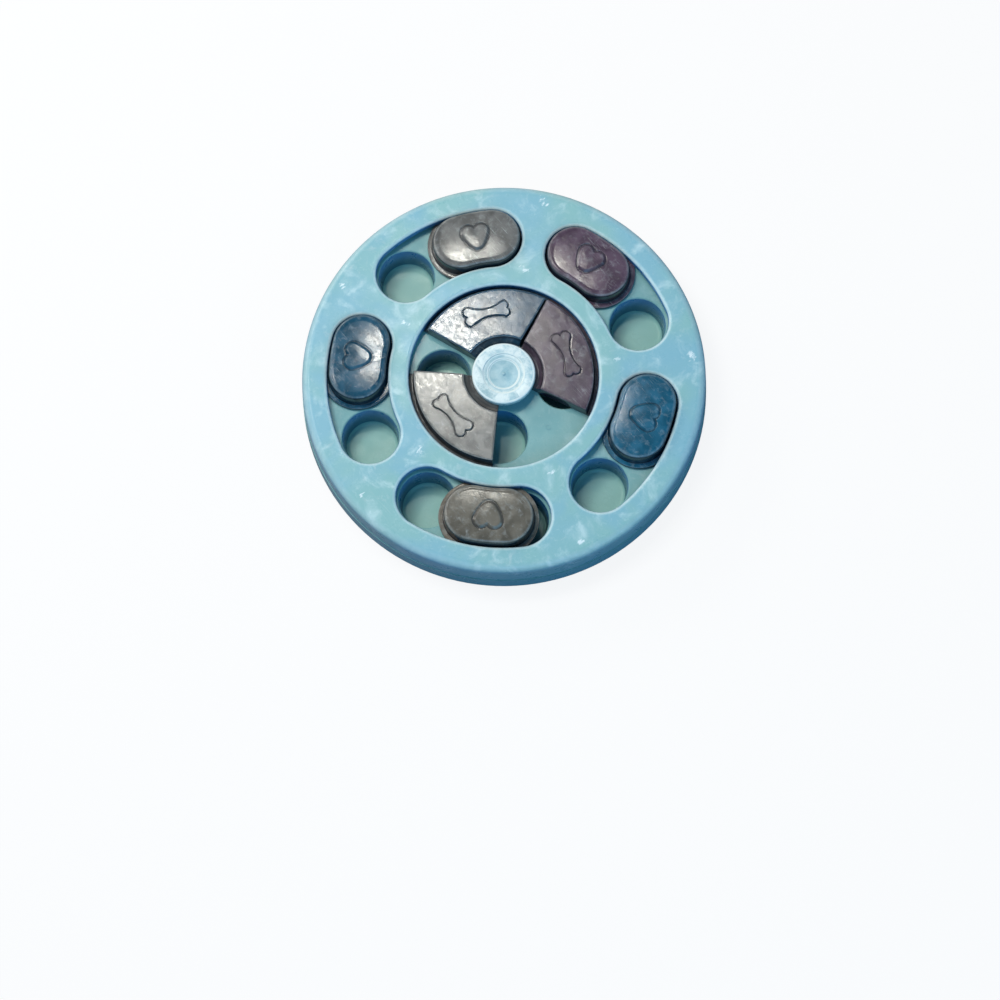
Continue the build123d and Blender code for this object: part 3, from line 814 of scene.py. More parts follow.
def to_notch(centre, radius, grow, start, across, away, steps):
    """Points round a lobe, grown by some amount, on to the notch where it meets its mirror image.  The mirror
    line lies that far away from its centre, in the direction of the angle across."""
    if grow >= 0:
        return arc(centre, radius + grow, start, across - math.acos(away / (radius + grow)), steps + 3)
    stop = across - math.acos(away / radius)
    notch = centre + Vector((math.cos(stop), math.sin(stop))) * radius
    corner = arc(notch, -grow, stop + math.pi, across + math.pi / 2, 3)
    return arc(centre, radius + grow, start, stop, steps)[:-1] + corner


def heart(sizes, grow):
    """A heart with its point towards -Y, anticlockwise, grown evenly by the given amount."""
    lobe_centre = Vector((sizes.width / 2 - sizes.lobe, sizes.reach / 2 - sizes.lobe))
    side = Vector((math.cos(sizes.side), -math.sin(sizes.side)))
    foot = Vector((0, -sizes.reach / 2))
    leave = lobe_centre + side * sizes.lobe
    side_radius = (leave - foot).length_squared / (2 * side.dot(leave - foot))
    side_centre = leave - side * side_radius
    point_turn = -math.acos(-side_centre.x / (side_radius - sizes.point))
    point_centre = (0, side_centre.y + (side_radius - sizes.point) * math.sin(point_turn))
    half = arc(point_centre, sizes.point + grow, -math.pi / 2, point_turn, 5)[:-1]
    half += arc(side_centre, side_radius + grow, point_turn, -sizes.side, 9)[:-1]
    half += to_notch(lobe_centre, sizes.lobe, grow, -sizes.side, math.pi, lobe_centre.x, 15)
    return mirrored(half)


def meeting(centre, radius, other, other_radius, side):
    """Angle round the first circle at which it meets the other, on the given side of the line between them."""
    apart = other - centre
    bend = (radius**2 + apart.length_squared - other_radius**2) / (2 * radius * apart.length)
    return math.atan2(apart.y, apart.x) + side * math.acos(max(-1, min(1, bend)))


def bone(sizes, grow):
    """A bone along X with its bigger end towards -X, anticlockwise, grown evenly by the given amount."""
    big = Vector((sizes.knob - sizes.reach / 2, sizes.knob_pitch / 2))
    small = Vector((sizes.reach / 2 - sizes.small_knob, sizes.small_pitch / 2))
    waist = Vector((math.cos(sizes.waist), math.sin(sizes.waist)))
    left = big + waist * sizes.knob
    right = small + Vector((-waist.x, waist.y)) * sizes.small_knob
    low_point = Vector((0, sizes.shaft / 2))
    # centre of the circle through those three points
    a, b = left - low_point, right - low_point
    cross = 2 * (a.x * b.y - a.y * b.x)
    centre = low_point + Vector(
        (b.y * a.length_squared - a.y * b.length_squared, a.x * b.length_squared - b.x * a.length_squared)
    ) / cross
    hollow = (centre - low_point).length - grow
    big_radius = sizes.knob + grow
    small_radius = sizes.small_knob + grow
    small_end = meeting(small, small_radius, centre, hollow, 1)
    big_start = meeting(big, big_radius, centre, hollow, -1)
    small_start = small + small_radius * Vector((math.cos(small_end), math.sin(small_end)))
    big_side = big + big_radius * Vector((math.cos(big_start), math.sin(big_start)))
    shaft_start = math.atan2(*reversed(small_start - centre))
    shaft_end = math.atan2(*reversed(big_side - centre))
    flipped = Vector((-small.x, small.y))
    small_knob = to_notch(flipped, sizes.small_knob, grow, math.pi - small_end, 1.5 * math.pi, small.y, 11)
    top = [Vector((-point.x, point.y)) for point in reversed(small_knob[1:])]
    top += arc(centre, hollow, shaft_start, shaft_end, 12)[:-1]
    top += to_notch(big, sizes.knob, grow, big_start, 1.5 * math.pi, big.y, 13)
    bottom = [Vector((point.x, -point.y)) for point in reversed(top[1:-1])]
    return top + bottom


def sector(sizes, inner, outer, inset, corner):
    """Right half of a sector as seen from the axis, its sides moved in by the inset; then the whole outline."""
    lean = Vector((math.sin(sizes.half_angle), math.cos(sizes.half_angle)))
    start = Vector((0, sizes.apex)) + Vector((-lean.y, lean.x)) * inset

    def on_side(radius):
        along = -start.dot(lean) + math.sqrt(start.dot(lean) ** 2 - start.length_squared + radius**2)
        return start + lean * along

    inner_corner, outer_corner = on_side(inner), on_side(outer)
    inner_turn = math.atan2(inner_corner.x, inner_corner.y) - corner / inner
    outer_turn = math.atan2(outer_corner.x, outer_corner.y) - corner / outer
    inner_arc = arc((0, 0), inner, math.pi / 2, math.pi / 2 - inner_turn, 10)
    outer_arc = arc((0, 0), outer, math.pi / 2 - outer_turn, math.pi / 2, 20)
    low_cut = inner_corner + lean * corner
    high_cut = outer_corner - lean * corner
    side = [low_cut.lerp(high_cut, s / 12) for s in range(13)]

    def bend(a, corner_point, b):
        return [a * (1 - t) ** 2 + corner_point * 2 * t * (1 - t) + b * t * t for t in (0.25, 0.5, 0.75)]

    half = inner_arc + bend(inner_arc[-1], inner_corner, low_cut) + side
    half += bend(high_cut, outer_corner, outer_arc[0]) + outer_arc
    return mirrored(half)


# ---------------------------------------------------------------- meshes laid up from loops
class Shell:
    """A closed surface laid up from loops of points, with masks on its points for worn edges with painted
    highlight and for soiled creases with painted shade.
    """

    def __init__(self):
        self.mesh = bmesh.new()
        self.wear_and_highlight = self.mesh.verts.layers.float.new("wear_and_highlight")
        self.grime_and_shade = self.mesh.verts.layers.float.new("grime_and_shade")

    def loop(self, points, heights, wear_and_highlight=0.0, grime_and_shade=0.0):
        if not isinstance(heights, (list, tuple)):
            heights = [heights] * len(points)
        made = [self.mesh.verts.new((point[0], point[1], height)) for point, height in zip(points, heights)]
        for vertex in made:
            vertex[self.wear_and_highlight] = wear_and_highlight
            vertex[self.grime_and_shade] = grime_and_shade
        return made

    def bridge(self, first, second):
        count = len(first)
        for index in range(count):
            after = (index + 1) % count
            self.mesh.faces.new((first[index], first[after], second[after], second[index]))

    def layers(self, loops):
        for first, second in zip(loops, loops[1:]):
            self.bridge(first, second)
        return loops

    def fill(self, *loops):
        """The flat region between an outer loop and the loops inside it."""
        edges = []
        for loop in loops:
            for index, vertex in enumerate(loop):
                pair = (vertex, loop[(index + 1) % len(loop)])
                edges.append(self.mesh.edges.get(pair) or self.mesh.edges.new(pair))
        bmesh.ops.triangle_fill(self.mesh, use_beauty=True, use_dissolve=False, edges=edges)

    def dome(self, loop, centre, height, rings, rise):
        """Closes a loop that is seen whole from its centre, with a slight crown."""
        flat = [vertex.co.xy for vertex in loop]
        wear_and_highlight, grime_and_shade = loop[0][self.wear_and_highlight], loop[0][self.grime_and_shade]
        last = loop
        for ring in range(1, rings):
            share = ring / rings
            points = [point.lerp(centre, share) for point in flat]
            level = height + rise * math.sin(share * math.pi / 2)
            inner = self.loop(points, level, wear_and_highlight * (1 - share), grime_and_shade * (1 - share))
            self.bridge(last, inner)
            last = inner
        tip = self.mesh.verts.new((centre.x, centre.y, height + rise))
        for index, vertex in enumerate(last):
            self.mesh.faces.new((vertex, last[(index + 1) % len(last)], tip))

    def finish(self, name, material, sharp_angle=SHARP_ANGLE):
        """The mesh as an object at the origin, closed, with its faces outwards and smooth between its edges."""
        bmesh.ops.remove_doubles(self.mesh, verts=self.mesh.verts, dist=WELD)
        bmesh.ops.dissolve_degenerate(self.mesh, edges=self.mesh.edges, dist=WELD)
        bmesh.ops.recalc_face_normals(self.mesh, faces=self.mesh.faces)
        data = bpy.data.meshes.new(name)
        self.mesh.to_mesh(data)
        self.mesh.free()
        return finish_mesh(name, data, material, sharp_angle)


def finish_mesh(name, data, material, sharp_angle=SHARP_ANGLE):
    data.materials.clear()
    data.materials.append(material)
    data.shade_smooth()
    data.set_sharp_from_angle(angle=math.radians(sharp_angle))
    piece = bpy.data.objects.new(name, data)
    bpy.context.scene.collection.objects.link(piece)
    return piece


def on_ray(centre, point, outline):
    """Where the ray from a centre through a point leaves a closed outline."""
    way = point - centre
    best = None
    for start, end in zip(outline, outline[1:] + outline[:1]):
        edge = end - start
        cross = way.x * edge.y - way.y * edge.x
        if abs(cross) < 1e-14:
            continue
        gap = start - centre
        along = (gap.x * edge.y - gap.y * edge.x) / cross
        across = (gap.x * way.y - gap.y * way.x) / cross
        if along > 0 and -1e-9 <= across <= 1 + 1e-9 and (best is None or along < best):
            best = along
    return centre + way * best


def relief(shell, outline, place, surface, level, sizes, rise):
    """A raised ornament with a soft top edge inside a fine groove.  Gives its outermost and innermost loops."""
    depth = sizes.groove_depth
    section = rounded(
        [
            (sizes.groove + 0.5 * MM, 0, 0),
            (sizes.groove, 0, depth / 2),
            (sizes.groove * 0.62, -depth, -depth / 2),
            (sizes.groove * 0.05, -depth, -depth / 2),
            (-sizes.slope, rise, sizes.pillow),
            (-sizes.slope - 0.5 * sizes.pillow, rise, 0),
        ],
        4,
    )
    loops = []
    for grow, up, wear_and_highlight, grime_and_shade in section:
        flat = place(outline(grow))
        low_share = max(0, min(1, 1 - up / rise))
        heights = [up + level + (surface(point) - level) * low_share for point in flat]
        # Darker at the foot of the groove: soiling and painted shade.
        groove_dirt_and_shade = 0.6 * max(0, 1 - (up + depth) / (0.65 * (rise + depth))) if grow < sizes.groove * 0.8 else 0
        loops.append(shell.loop(flat, heights, wear_and_highlight * 0.5, groove_dirt_and_shade))
    shell.layers(loops)
    return loops[0], loops[-1]


# ---------------------------------------------------------------- geometry node trees
def coat_and_end(tree, geometry, start, end):
    """Makes copies real, gives them the material and ends the tree."""
    real = add_node(tree, "GeometryNodeRealizeInstances", {"Geometry": geometry}).outputs[0]
    coat = {"Geometry": real, "Material": start.outputs["Material"]}
    coated = add_node(tree, "GeometryNodeSetMaterial", coat).outputs[0]
    tree.links.new(coated, end.inputs["Geometry"])
    return tree


def lathe_tree():
    """Turns a profile round the Z axis.  Its points give their radius along X and their height along -Y."""
    tree, start, end = new_group(
        "Lathe",
        "GeometryNodeTree",
        [
            ("Geometry", "Geometry", None),
            ("Segments", "Int", 96),
            ("Arm", "Float", 0.01),
            ("Material", "Material", None),
        ],
        [("Geometry", "Geometry")],
    )
    arm = start.outputs["Arm"]
    back = times(tree, arm, -1.0)
    offset = add_node(tree, "ShaderNodeCombineXYZ", {0: back}).outputs[0]
    placing = {"Geometry": start.outputs["Geometry"], "Translation": offset}
    moved = add_node(tree, "GeometryNodeTransform", placing).outputs[0]
    profile = add_node(tree, "GeometryNodeMeshToCurve", {"Mesh": moved}).outputs[0]
    round_axis = {"Resolution": start.outputs["Segments"], "Radius": arm}
    path = add_node(tree, "GeometryNodeCurvePrimitiveCircle", round_axis).outputs[0]
    swept = add_node(tree, "GeometryNodeCurveToMesh", {"Curve": path, "Profile Curve": profile}).outputs[0]
    merged = add_node(tree, "GeometryNodeMergeByDistance", {"Geometry": swept, "Distance": 1e-5}).outputs[0]
    return coat_and_end(tree, merged, start, end)


def ring_tree():
    """Copies the mesh it is given to places evenly spaced on a ring about the Z axis."""
    tree, start, end = new_group(
        "Ring of copies",
        "GeometryNodeTree",
        [
            ("Geometry", "Geometry", None),
            ("Count", "Int", 5),
            ("Radius", "Float", 0.1),
            ("First", "Float", 0.0),
            ("Material", "Material", None),
        ],
        [("Geometry", "Geometry")],
    )
    points = add_node(tree, "GeometryNodePoints", {"Count": start.outputs["Count"]}).outputs[0]
    index = add_node(tree, "GeometryNodeInputIndex").outputs[0]
    pitch = calculate(tree, "DIVIDE", math.tau, start.outputs["Count"])
    turn = calculate(tree, "MULTIPLY_ADD", index, pitch, start.outputs["First"])
    unit = {0: calculate(tree, "COSINE", turn), 1: calculate(tree, "SINE", turn)}
    direction = add_node(tree, "ShaderNodeCombineXYZ", unit).outputs[0]
    reach = {0: direction, "Scale": start.outputs["Radius"]}
    spot = add_node(tree, "ShaderNodeVectorMath", reach, operation="SCALE").outputs[0]
    placed = add_node(tree, "GeometryNodeSetPosition", {"Geometry": points, "Position": spot}).outputs[0]
    facing = add_node(tree, "ShaderNodeCombineXYZ", {2: turn}).outputs[0]
    copied = {"Points": placed, "Instance": start.outputs["Geometry"], "Rotation": facing}
    copies = add_node(tree, "GeometryNodeInstanceOnPoints", copied).outputs[0]
    return coat_and_end(tree, copies, start, end)


def run_tree(name, data, tree, inputs):
    """The plain mesh that a tree makes from the given mesh, with its faces outwards."""
    holder = bpy.data.objects.new(name, data)
    bpy.context.scene.collection.objects.link(holder)
    modifier = holder.modifiers.new(tree.name, "NODES")
    modifier.node_group = tree
    sockets = {item.name: item.identifier for item in tree.interface.items_tree if item.in_out == "INPUT"}
    for title, value in inputs.items():
        modifier[sockets[title]] = value
    bpy.context.view_layer.update()
    evaluated = holder.evaluated_get(bpy.context.evaluated_depsgraph_get())
    made = bpy.data.meshes.new_from_object(evaluated)
    bpy.data.objects.remove(holder)
    work = bmesh.new()
    work.from_mesh(made)
    bmesh.ops.remove_doubles(work, verts=work.verts, dist=WELD)
    bmesh.ops.recalc_face_normals(work, faces=work.faces)
    work.to_mesh(made)
    work.free()
    return made


def turned(name, profile, material, segments):
    """A part turned from a closed profile of (radius, height) points."""
    data = bpy.data.meshes.new(name + "_profile")
    corners = [(radius, -height, 0) for radius, height in profile]
    edges = [(index, (index + 1) % len(corners)) for index in range(len(corners))]
    data.from_pydata(corners, edges, [])
    return run_tree(name, data, lathe_tree(), {"Segments": segments, "Material": material})


# ---------------------------------------------------------------- operators
class FEEDER_OT_tray(bpy.types.Operator):
    """Finishes the tray with its wells"""

    bl_idname = "feeder.tray"
    bl_label = "Tray"

    def execute(self, context):
        material = tray_material(context.scene.feeder_colours)
        for name, node in frame["nodes"].items():
            if name == "base_tray" or "_cup_" in name:
                for slot in node.material_slots:
                    slot.material = material
        return {"FINISHED"}


class FEEDER_OT_cover(bpy.types.Operator):
    """Builds the cover with its slots, window and skirt"""

    bl_idname = "feeder.cover"
    bl_label = "Cover"

    def execute(self, context):
        sizes = context.scene.feeder_cover
        under = COVER_TOP - sizes.plate
        wall_foot = DECK + sizes.wall_foot
        shell = Shell()

        def lip_section(edge, inward):
            """From the plate's underside round the guide wall and up over the lip, for an opening's edge."""
            wall = edge + inward * sizes.guide_wall
            past_lip = edge + inward * (sizes.lip + 0.6 * MM)
            return rounded(
                [
                    (wall, under, 0),
                    (wall, wall_foot, 0.3 * MM),
                    (edge, wall_foot, 0.3 * MM),
                    (edge, COVER_TOP, sizes.lip),
                    (past_lip, COVER_TOP, 0),
                ],
                7,
            )

        tops, unders = [], []
        # The lips' worn edges are also painted as a highlight line.
        for number in range(5):
            middle = sizes.slot_start + number * math.tau / 5
            loops = []
            for half_width, height, wear_and_highlight, grime_and_shade in lip_section(sizes.slot_width / 2, 1):
                points = kidney(sizes.track_radius, half_width, sizes.slot_lobe, middle)
                loops.append(shell.loop(points, height, wear_and_highlight))
            shell.layers(loops)
            tops.append(loops[-1])
            unders.append(loops[0])

        loops = [
            shell.loop(circle(radius, RING_STEPS), height, wear_and_highlight)
            for radius, height, wear_and_highlight, grime_and_shade in lip_section(sizes.window_radius, 1)
        ]
        shell.layers(loops)
        tops.append(loops[-1])
        unders.append(loops[0])

        top_radius = COVER_RADIUS - sizes.skirt_lean
        outside = rounded(
            [
                (top_radius - sizes.skirt_wall - sizes.shoulder, under, 0),
                (top_radius - sizes.skirt_wall, under, -(sizes.shoulder - sizes.skirt_wall)),
                (COVER_RADIUS - sizes.skirt_wall, SKIRT_FOOT, 0.2 * MM),
                (COVER_RADIUS, SKIRT_FOOT, 0.4 * MM),
                (top_radius, COVER_TOP, sizes.shoulder),
                (top_radius - sizes.shoulder - 0.6 * MM, COVER_TOP, 0),
            ],
            9,
        )
        # The shoulder's worn edge, which also paints a highlight along it.
        loops = [shell.loop(circle(radius, SKIRT_STEPS), up, wear_and_highlight * 0.4) for radius, up, wear_and_highlight, grime_and_shade in outside]
        shell.layers(loops)
        shell.fill(loops[-1], *tops)
        shell.fill(loops[0], *unders)

        # ribs beside the tracks
        reach = sizes.slot_width / 2 + sizes.rib_reach
        outer_rib = sizes.track_radius + reach
        inner_rib = sizes.track_radius - reach - sizes.guide_rib
        for near in (outer_rib, inner_rib, sizes.window_radius + sizes.window_rib):
            far = near + sizes.guide_rib
            ring = [(near, under), (near, DECK), (far, DECK), (far, under)]
            loops = [shell.loop(circle(radius, RING_STEPS), height) for radius, height in ring]
            shell.layers(loops + loops[:1])

        material = cover_material(context.scene.feeder_colours)
        piece = shell.finish("cover_shell", material)
        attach(piece, BASE)
        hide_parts("top_cover")
        return {"FINISHED"}


class FEEDER_OT_rim_caps(bpy.types.Operator):
    """Builds the five kidney-shaped caps with their hearts"""

    bl_idname = "feeder.rim_caps"
    bl_label = "Rim caps"

    def execute(self, context):
        scene = context.scene
        colours = scene.feeder_colours
        shades = (colours.cap_purple, colours.cap_grey, colours.cap_blue, colours.cap_taupe, colours.cap_teal)
        slots = ("slider_purple", "slider_grey", "slider_blue", "slider_taupe", "slider_teal")
        for number, (shade, slot) in enumerate(zip(shades, slots), start=1):
            node = f"outer_slider_{number}"
            material = cap_material(f"rim_cap_plastic_{number}", shade, colours, number)
            piece = self.cap(scene, f"rim_cap_shell_{number}", middle_angle(node), material)
            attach(piece, f"rim_cap_{number}")
            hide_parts(node)
        return {"FINISHED"}

    @staticmethod
    def cap(scene, name, middle, material):
        sizes = scene.feeder_rim_cap
        track = scene.feeder_cover.track_radius
        top = COVER_TOP + sizes.rise
        flange_top = CAP_FOOT + sizes.flange
        shoulder = top - sizes.crown
        lean = math.tan(sizes.draft)
        half = sizes.width / 2
        top_half = half - lean * (top - flange_top)
        ceiling = top - sizes.shell
        hollow_foot = half - sizes.shell
        hollow_top = hollow_foot - lean * (ceiling - CAP_FOOT)
        flange_half = sizes.flange_width / 2
        inside = [(0.6 * hollow_top, ceiling, 0), (hollow_top, ceiling, -0.8 * MM), (hollow_foot, CAP_FOOT, 0)]
        hollow = rounded(inside, 3)
        flange = rounded(
            [
                (flange_half - 1.5 * MM, CAP_FOOT, 0),
                (flange_half, CAP_FOOT, sizes.flange_round / 2),
                (flange_half, flange_top, sizes.flange_round),
                (flange_half - 1.5 * MM, flange_top, 0),
            ],
            4,
        )
        body = rounded(
            [
                (half + 1.2 * MM, flange_top, 0),
                (half, flange_top, -0.5 * MM),
                (top_half, shoulder, sizes.round),
                (top_half - sizes.round - 0.3 * MM, shoulder + 0.02 * MM, 0),
            ],
            8,
        )
        shell = Shell()
        loops = []
        for section, lobe in ((hollow, sizes.lobe), (flange, sizes.flange_lobe), (body, sizes.lobe)):
            for half_width, height, wear_and_highlight, grime_and_shade in section:
                loops.append(shell.loop(kidney(track, half_width, lobe, middle), height, wear_and_highlight, grime_and_shade))
        shell.layers(loops)
        shell.fill(loops[0])

        def crowned(point):
            """Height of the top, which falls away from the track's middle line towards the edge."""
            turn = math.remainder(math.atan2(point.y, point.x) - middle, math.tau)
            nearest = max(-sizes.lobe, min(sizes.lobe, turn)) + middle
            spine = Vector((track * math.cos(nearest), track * math.sin(nearest)))
            return top - sizes.crown * min(1, (point - spine).length / top_half) ** 2

        hearts = scene.feeder_heart
        radius = track - hearts.inset
        centre = towards(middle, [Vector((0, 0))], radius)[0]
        base = crowned(centre)
        outline, crest = relief(
            shell,
            lambda grow: heart(hearts, grow),
            lambda points: towards(middle, points, radius),
            crowned,
            base,
            hearts,
            hearts.rise - hearts.swell,
        )
        rim = [vertex.co.xy for vertex in loops[-1]]
        near = [vertex.co.xy for vertex in outline]
        far = [on_ray(centre, point, rim) for point in near]
        last = outline
        for step in range(1, 10):
            share = step / 9.3
            points = [start.lerp(end, share) for start, end in zip(near, far)]
            ring = shell.loop(points, [crowned(point) for point in points])
            shell.bridge(last, ring)
            last = ring
        shell.fill(loops[-1], last)
        shell.dome(crest, centre, crest[0].co.z, 5, hearts.swell)
        return shell.finish(name, material, CAP_SHARP_ANGLE)


class FEEDER_OT_sector_caps(bpy.types.Operator):
    """Builds the three sector caps with their bones"""

    bl_idname = "feeder.sector_caps"
    bl_label = "Sector caps"

    def execute(self, context):
        scene = context.scene
        colours = scene.feeder_colours
        shades = (colours.sector_blue, colours.sector_grey, colours.sector_purple)
        slots = ("sector_blue", "sector_grey", "sector_purple")
        for number, (shade, slot) in enumerate(zip(shades, slots), start=1):
            node = f"sector_slider_{number}"
            material = cap_material(f"sector_cap_plastic_{number}", shade, colours, number + 6)
            piece = self.cap(scene, f"sector_cap_shell_{number}", middle_angle(node), high(node).z, material)
            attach(piece, f"hub_sector_{number}")
            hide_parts(node)
        return {"FINISHED"}

    @staticmethod
    def cap(scene, name, middle, highest, material):
        sizes = scene.feeder_sector
        bones = scene.feeder_bone
        top = highest - bones.rise
        flange_top = CAP_FOOT + sizes.flange_rise
        tongue_top = top - sizes.slope_drop
        slope_foot = sizes.inner - sizes.slope
        shell = Shell()

        def outline(inner, outer, inset, inner_height, outer_height, wear_and_highlight=0.0, grime_and_shade=0.0):
            """A loop whose height goes evenly from its inner end to its outer end."""
            flat = sector(sizes, inner, outer, inset, sizes.corner)
            heights = []
            for point in flat:
                share = (point.length - inner) / (outer - inner)
                heights.append(inner_height + max(0, min(1, share)) * (outer_height - inner_height))
            return shell.loop(towards(middle, flat, 0), heights, wear_and_highlight, grime_and_shade)

        hollow = sizes.shell
        crease = 0.2 * MM
        side_foot = flange_top + 2 * crease
        loops = [
            outline(slope_foot + 2 * hollow, sizes.outer - hollow, hollow, top - hollow, top - hollow),
            outline(sizes.tongue + hollow, sizes.outer - hollow, hollow, tongue_top - hollow, top - hollow),
            outline(sizes.tongue + hollow, sizes.outer_foot - hollow, hollow, CAP_FOOT, CAP_FOOT),
            outline(sizes.tongue, sizes.flange, 0, CAP_FOOT, CAP_FOOT),
            # Worn flange edges with painted highlight; soiling and painted shade in the creases at the slope's
            # foot.
            outline(sizes.tongue, sizes.flange, 0, tongue_top - 0.4 * MM, flange_top - 0.3 * MM, 0.7),
            outline(sizes.tongue + 0.3 * MM, sizes.flange - 0.3 * MM, 0, tongue_top, flange_top, 0.7),
            outline(slope_foot - 0.3 * MM, sizes.outer_foot + 0.3 * MM, 0, tongue_top, flange_top, 0, 0.7),
            outline(slope_foot + crease, sizes.outer_foot, 0, tongue_top + crease, side_foot, 0, 0.4),
        ]
        for step in range(6):
            turn = step / 5 * math.pi / 2
            inset = sizes.round * (1 - math.cos(turn))
            height = top - sizes.round * (1 - math.sin(turn))
            inner = sizes.inner - 0.35 * sizes.round + inset
            loops.append(outline(inner, sizes.outer - inset, inset, height, height, math.sin(turn * 2)))
        loops.append(outline(sizes.inner + 1.1 * MM, sizes.outer - 1.3 * MM, 1.3 * MM, top, top))
        shell.layers(loops)
        shell.fill(loops[0])

        radius = sizes.outer - sizes.bone_inset
        base, crest = relief(
            shell,
            lambda grow: bone(bones, grow),
            lambda points: towards(middle, points, radius),
            lambda point: top,
            top,
            bones,
            bones.rise,
        )
        shell.fill(loops[-1], base)
        shell.fill(crest)
        return shell.finish(name, material, CAP_SHARP_ANGLE)


class FEEDER_OT_hub(bpy.types.Operator):
    """Turns the stepped hub"""

    bl_idname = "feeder.hub"
    bl_label = "Hub"

    def execute(self, context):
        sizes = context.scene.feeder_hub
        colours = context.scene.feeder_colours
        step_floor = HUB_TOP - sizes.step
        dish_floor = step_floor - sizes.dish
        ceiling = dish_floor - sizes.shell
        under = HUB_TOP - sizes.head
        post = 4.5 * MM                # radius of the post that takes the screw
        hole = 1.95 * MM               # and of its hole
        hole_top = DECK + 6.5 * MM
        corners = [
            (0, dish_floor + sizes.nub, 0),
            (sizes.nub_radius, dish_floor + sizes.nub, 0.25 * MM),
            (sizes.nub_radius + 0.1 * MM, dish_floor, -0.3 * MM),
            (sizes.dish_radius, dish_floor, -0.5 * MM),
            (sizes.dish_radius, step_floor, 0.35 * MM),
            (sizes.step_radius, step_floor, -0.4 * MM),
            (sizes.step_radius, HUB_TOP, 0.5 * MM),
            (HUB_RADIUS, HUB_TOP, sizes.edge),
            (HUB_RADIUS, under, 0.5 * MM),
            (sizes.column, under, -0.4 * MM),
            (sizes.column, DECK, 0),
            (sizes.column - sizes.shell, DECK, 0),
            (sizes.column - sizes.shell, ceiling, -0.5 * MM),
            (post, ceiling, -0.5 * MM),
            (post, DECK, 0),
            (hole, DECK, 0),
            (hole, hole_top, 0),
            (0, hole_top, 0),
        ]
        profile = [(across, up) for across, up, wear_and_highlight, grime_and_shade in rounded(corners, 5)]
        rings = (sizes.dish_radius, sizes.step_radius, HUB_RADIUS - 0.8 * MM)
        material = hub_material(colours, rings, HUB_TOP - sizes.head)
        piece = finish_mesh("hub_knob", turned("hub_knob", profile, material, HUB_STEPS), material)
        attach(piece, BASE)
        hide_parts("hub_cap")
        return {"FINISHED"}


class FEEDER_OT_screws(bpy.types.Operator):
    """Finishes the screws under the tray"""

    bl_idname = "feeder.screws"
    bl_label = "Screws"

    def execute(self, context):
        material = screw_material(context.scene.feeder_colours)
        for name, node in frame["nodes"].items():
            if "screw" in name:
                for slot in node.material_slots:
                    slot.material = material
        return {"FINISHED"}


class FEEDER_OT_feet(bpy.types.Operator):
    """Turns one ribbed foot and sets copies of it under the wells"""

    bl_idname = "feeder.feet"
    bl_label = "Feet"

    def execute(self, context):
        material = rubber_material(context.scene.feeder_colours)
        sizes = context.scene.feeder_foot
        nodes = [name for name in frame["nodes"] if name.startswith("rubber_foot")]
        bottom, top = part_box(nodes[0])
        radius = (top.x - bottom.x) / 2
        middle = (bottom + top) / 2
        corners = [(0, top.z, 0), (radius, top.z, 0), (radius, bottom.z, sizes.edge)]
        for ring in range(2):
            outer = radius * (0.8 - 0.3 * ring)
            groove = outer - sizes.groove
            corners += [
                (outer, bottom.z, 0.05 * MM),
                (outer, bottom.z + sizes.groove_depth, 0.05 * MM),
                (groove, bottom.z + sizes.groove_depth, 0.05 * MM),
                (groove, bottom.z, 0.05 * MM),
            ]
        corners.append((0, bottom.z, 0))
        profile = [(across, up) for across, up, wear_and_highlight, grime_and_shade in rounded(corners, 3)]
        foot = turned("foot", profile, material, FOOT_STEPS)
        placing = {
            "Count": len(nodes),
            "Radius": math.hypot(middle.x, middle.y),
            "First": math.atan2(middle.y, middle.x),
            "Material": material,
        }
        piece = finish_mesh("rubber_feet", run_tree("rubber_feet", foot, ring_tree(), placing), material)
        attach(piece, BASE)
        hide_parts(*nodes)
        return {"FINISHED"}


def heading(elevation, azimuth):
    """The direction at so many degrees above the floor and round from +X."""
    level = math.cos(math.radians(elevation))
    turn = math.radians(azimuth)
    return Vector((level * math.cos(turn), level * math.sin(turn), math.sin(math.radians(elevation))))


def add_lamp(scene, name, target, out, distance, width, height, power, tint, mirrored=True):
    """A softbox that many metres from its target, in the given direction."""
    data = bpy.data.lights.new(name, "AREA")
    data.shape = "RECTANGLE"
    data.size = width
    data.size_y = height
    data.energy = power
    data.color = tint
    lamp = bpy.data.objects.new(name, data)
    lamp.location = target + out * distance
    lamp.rotation_euler = out.to_track_quat("Z", "Y").to_euler()
    lamp.visible_glossy = mirrored
    scene.collection.objects.link(lamp)


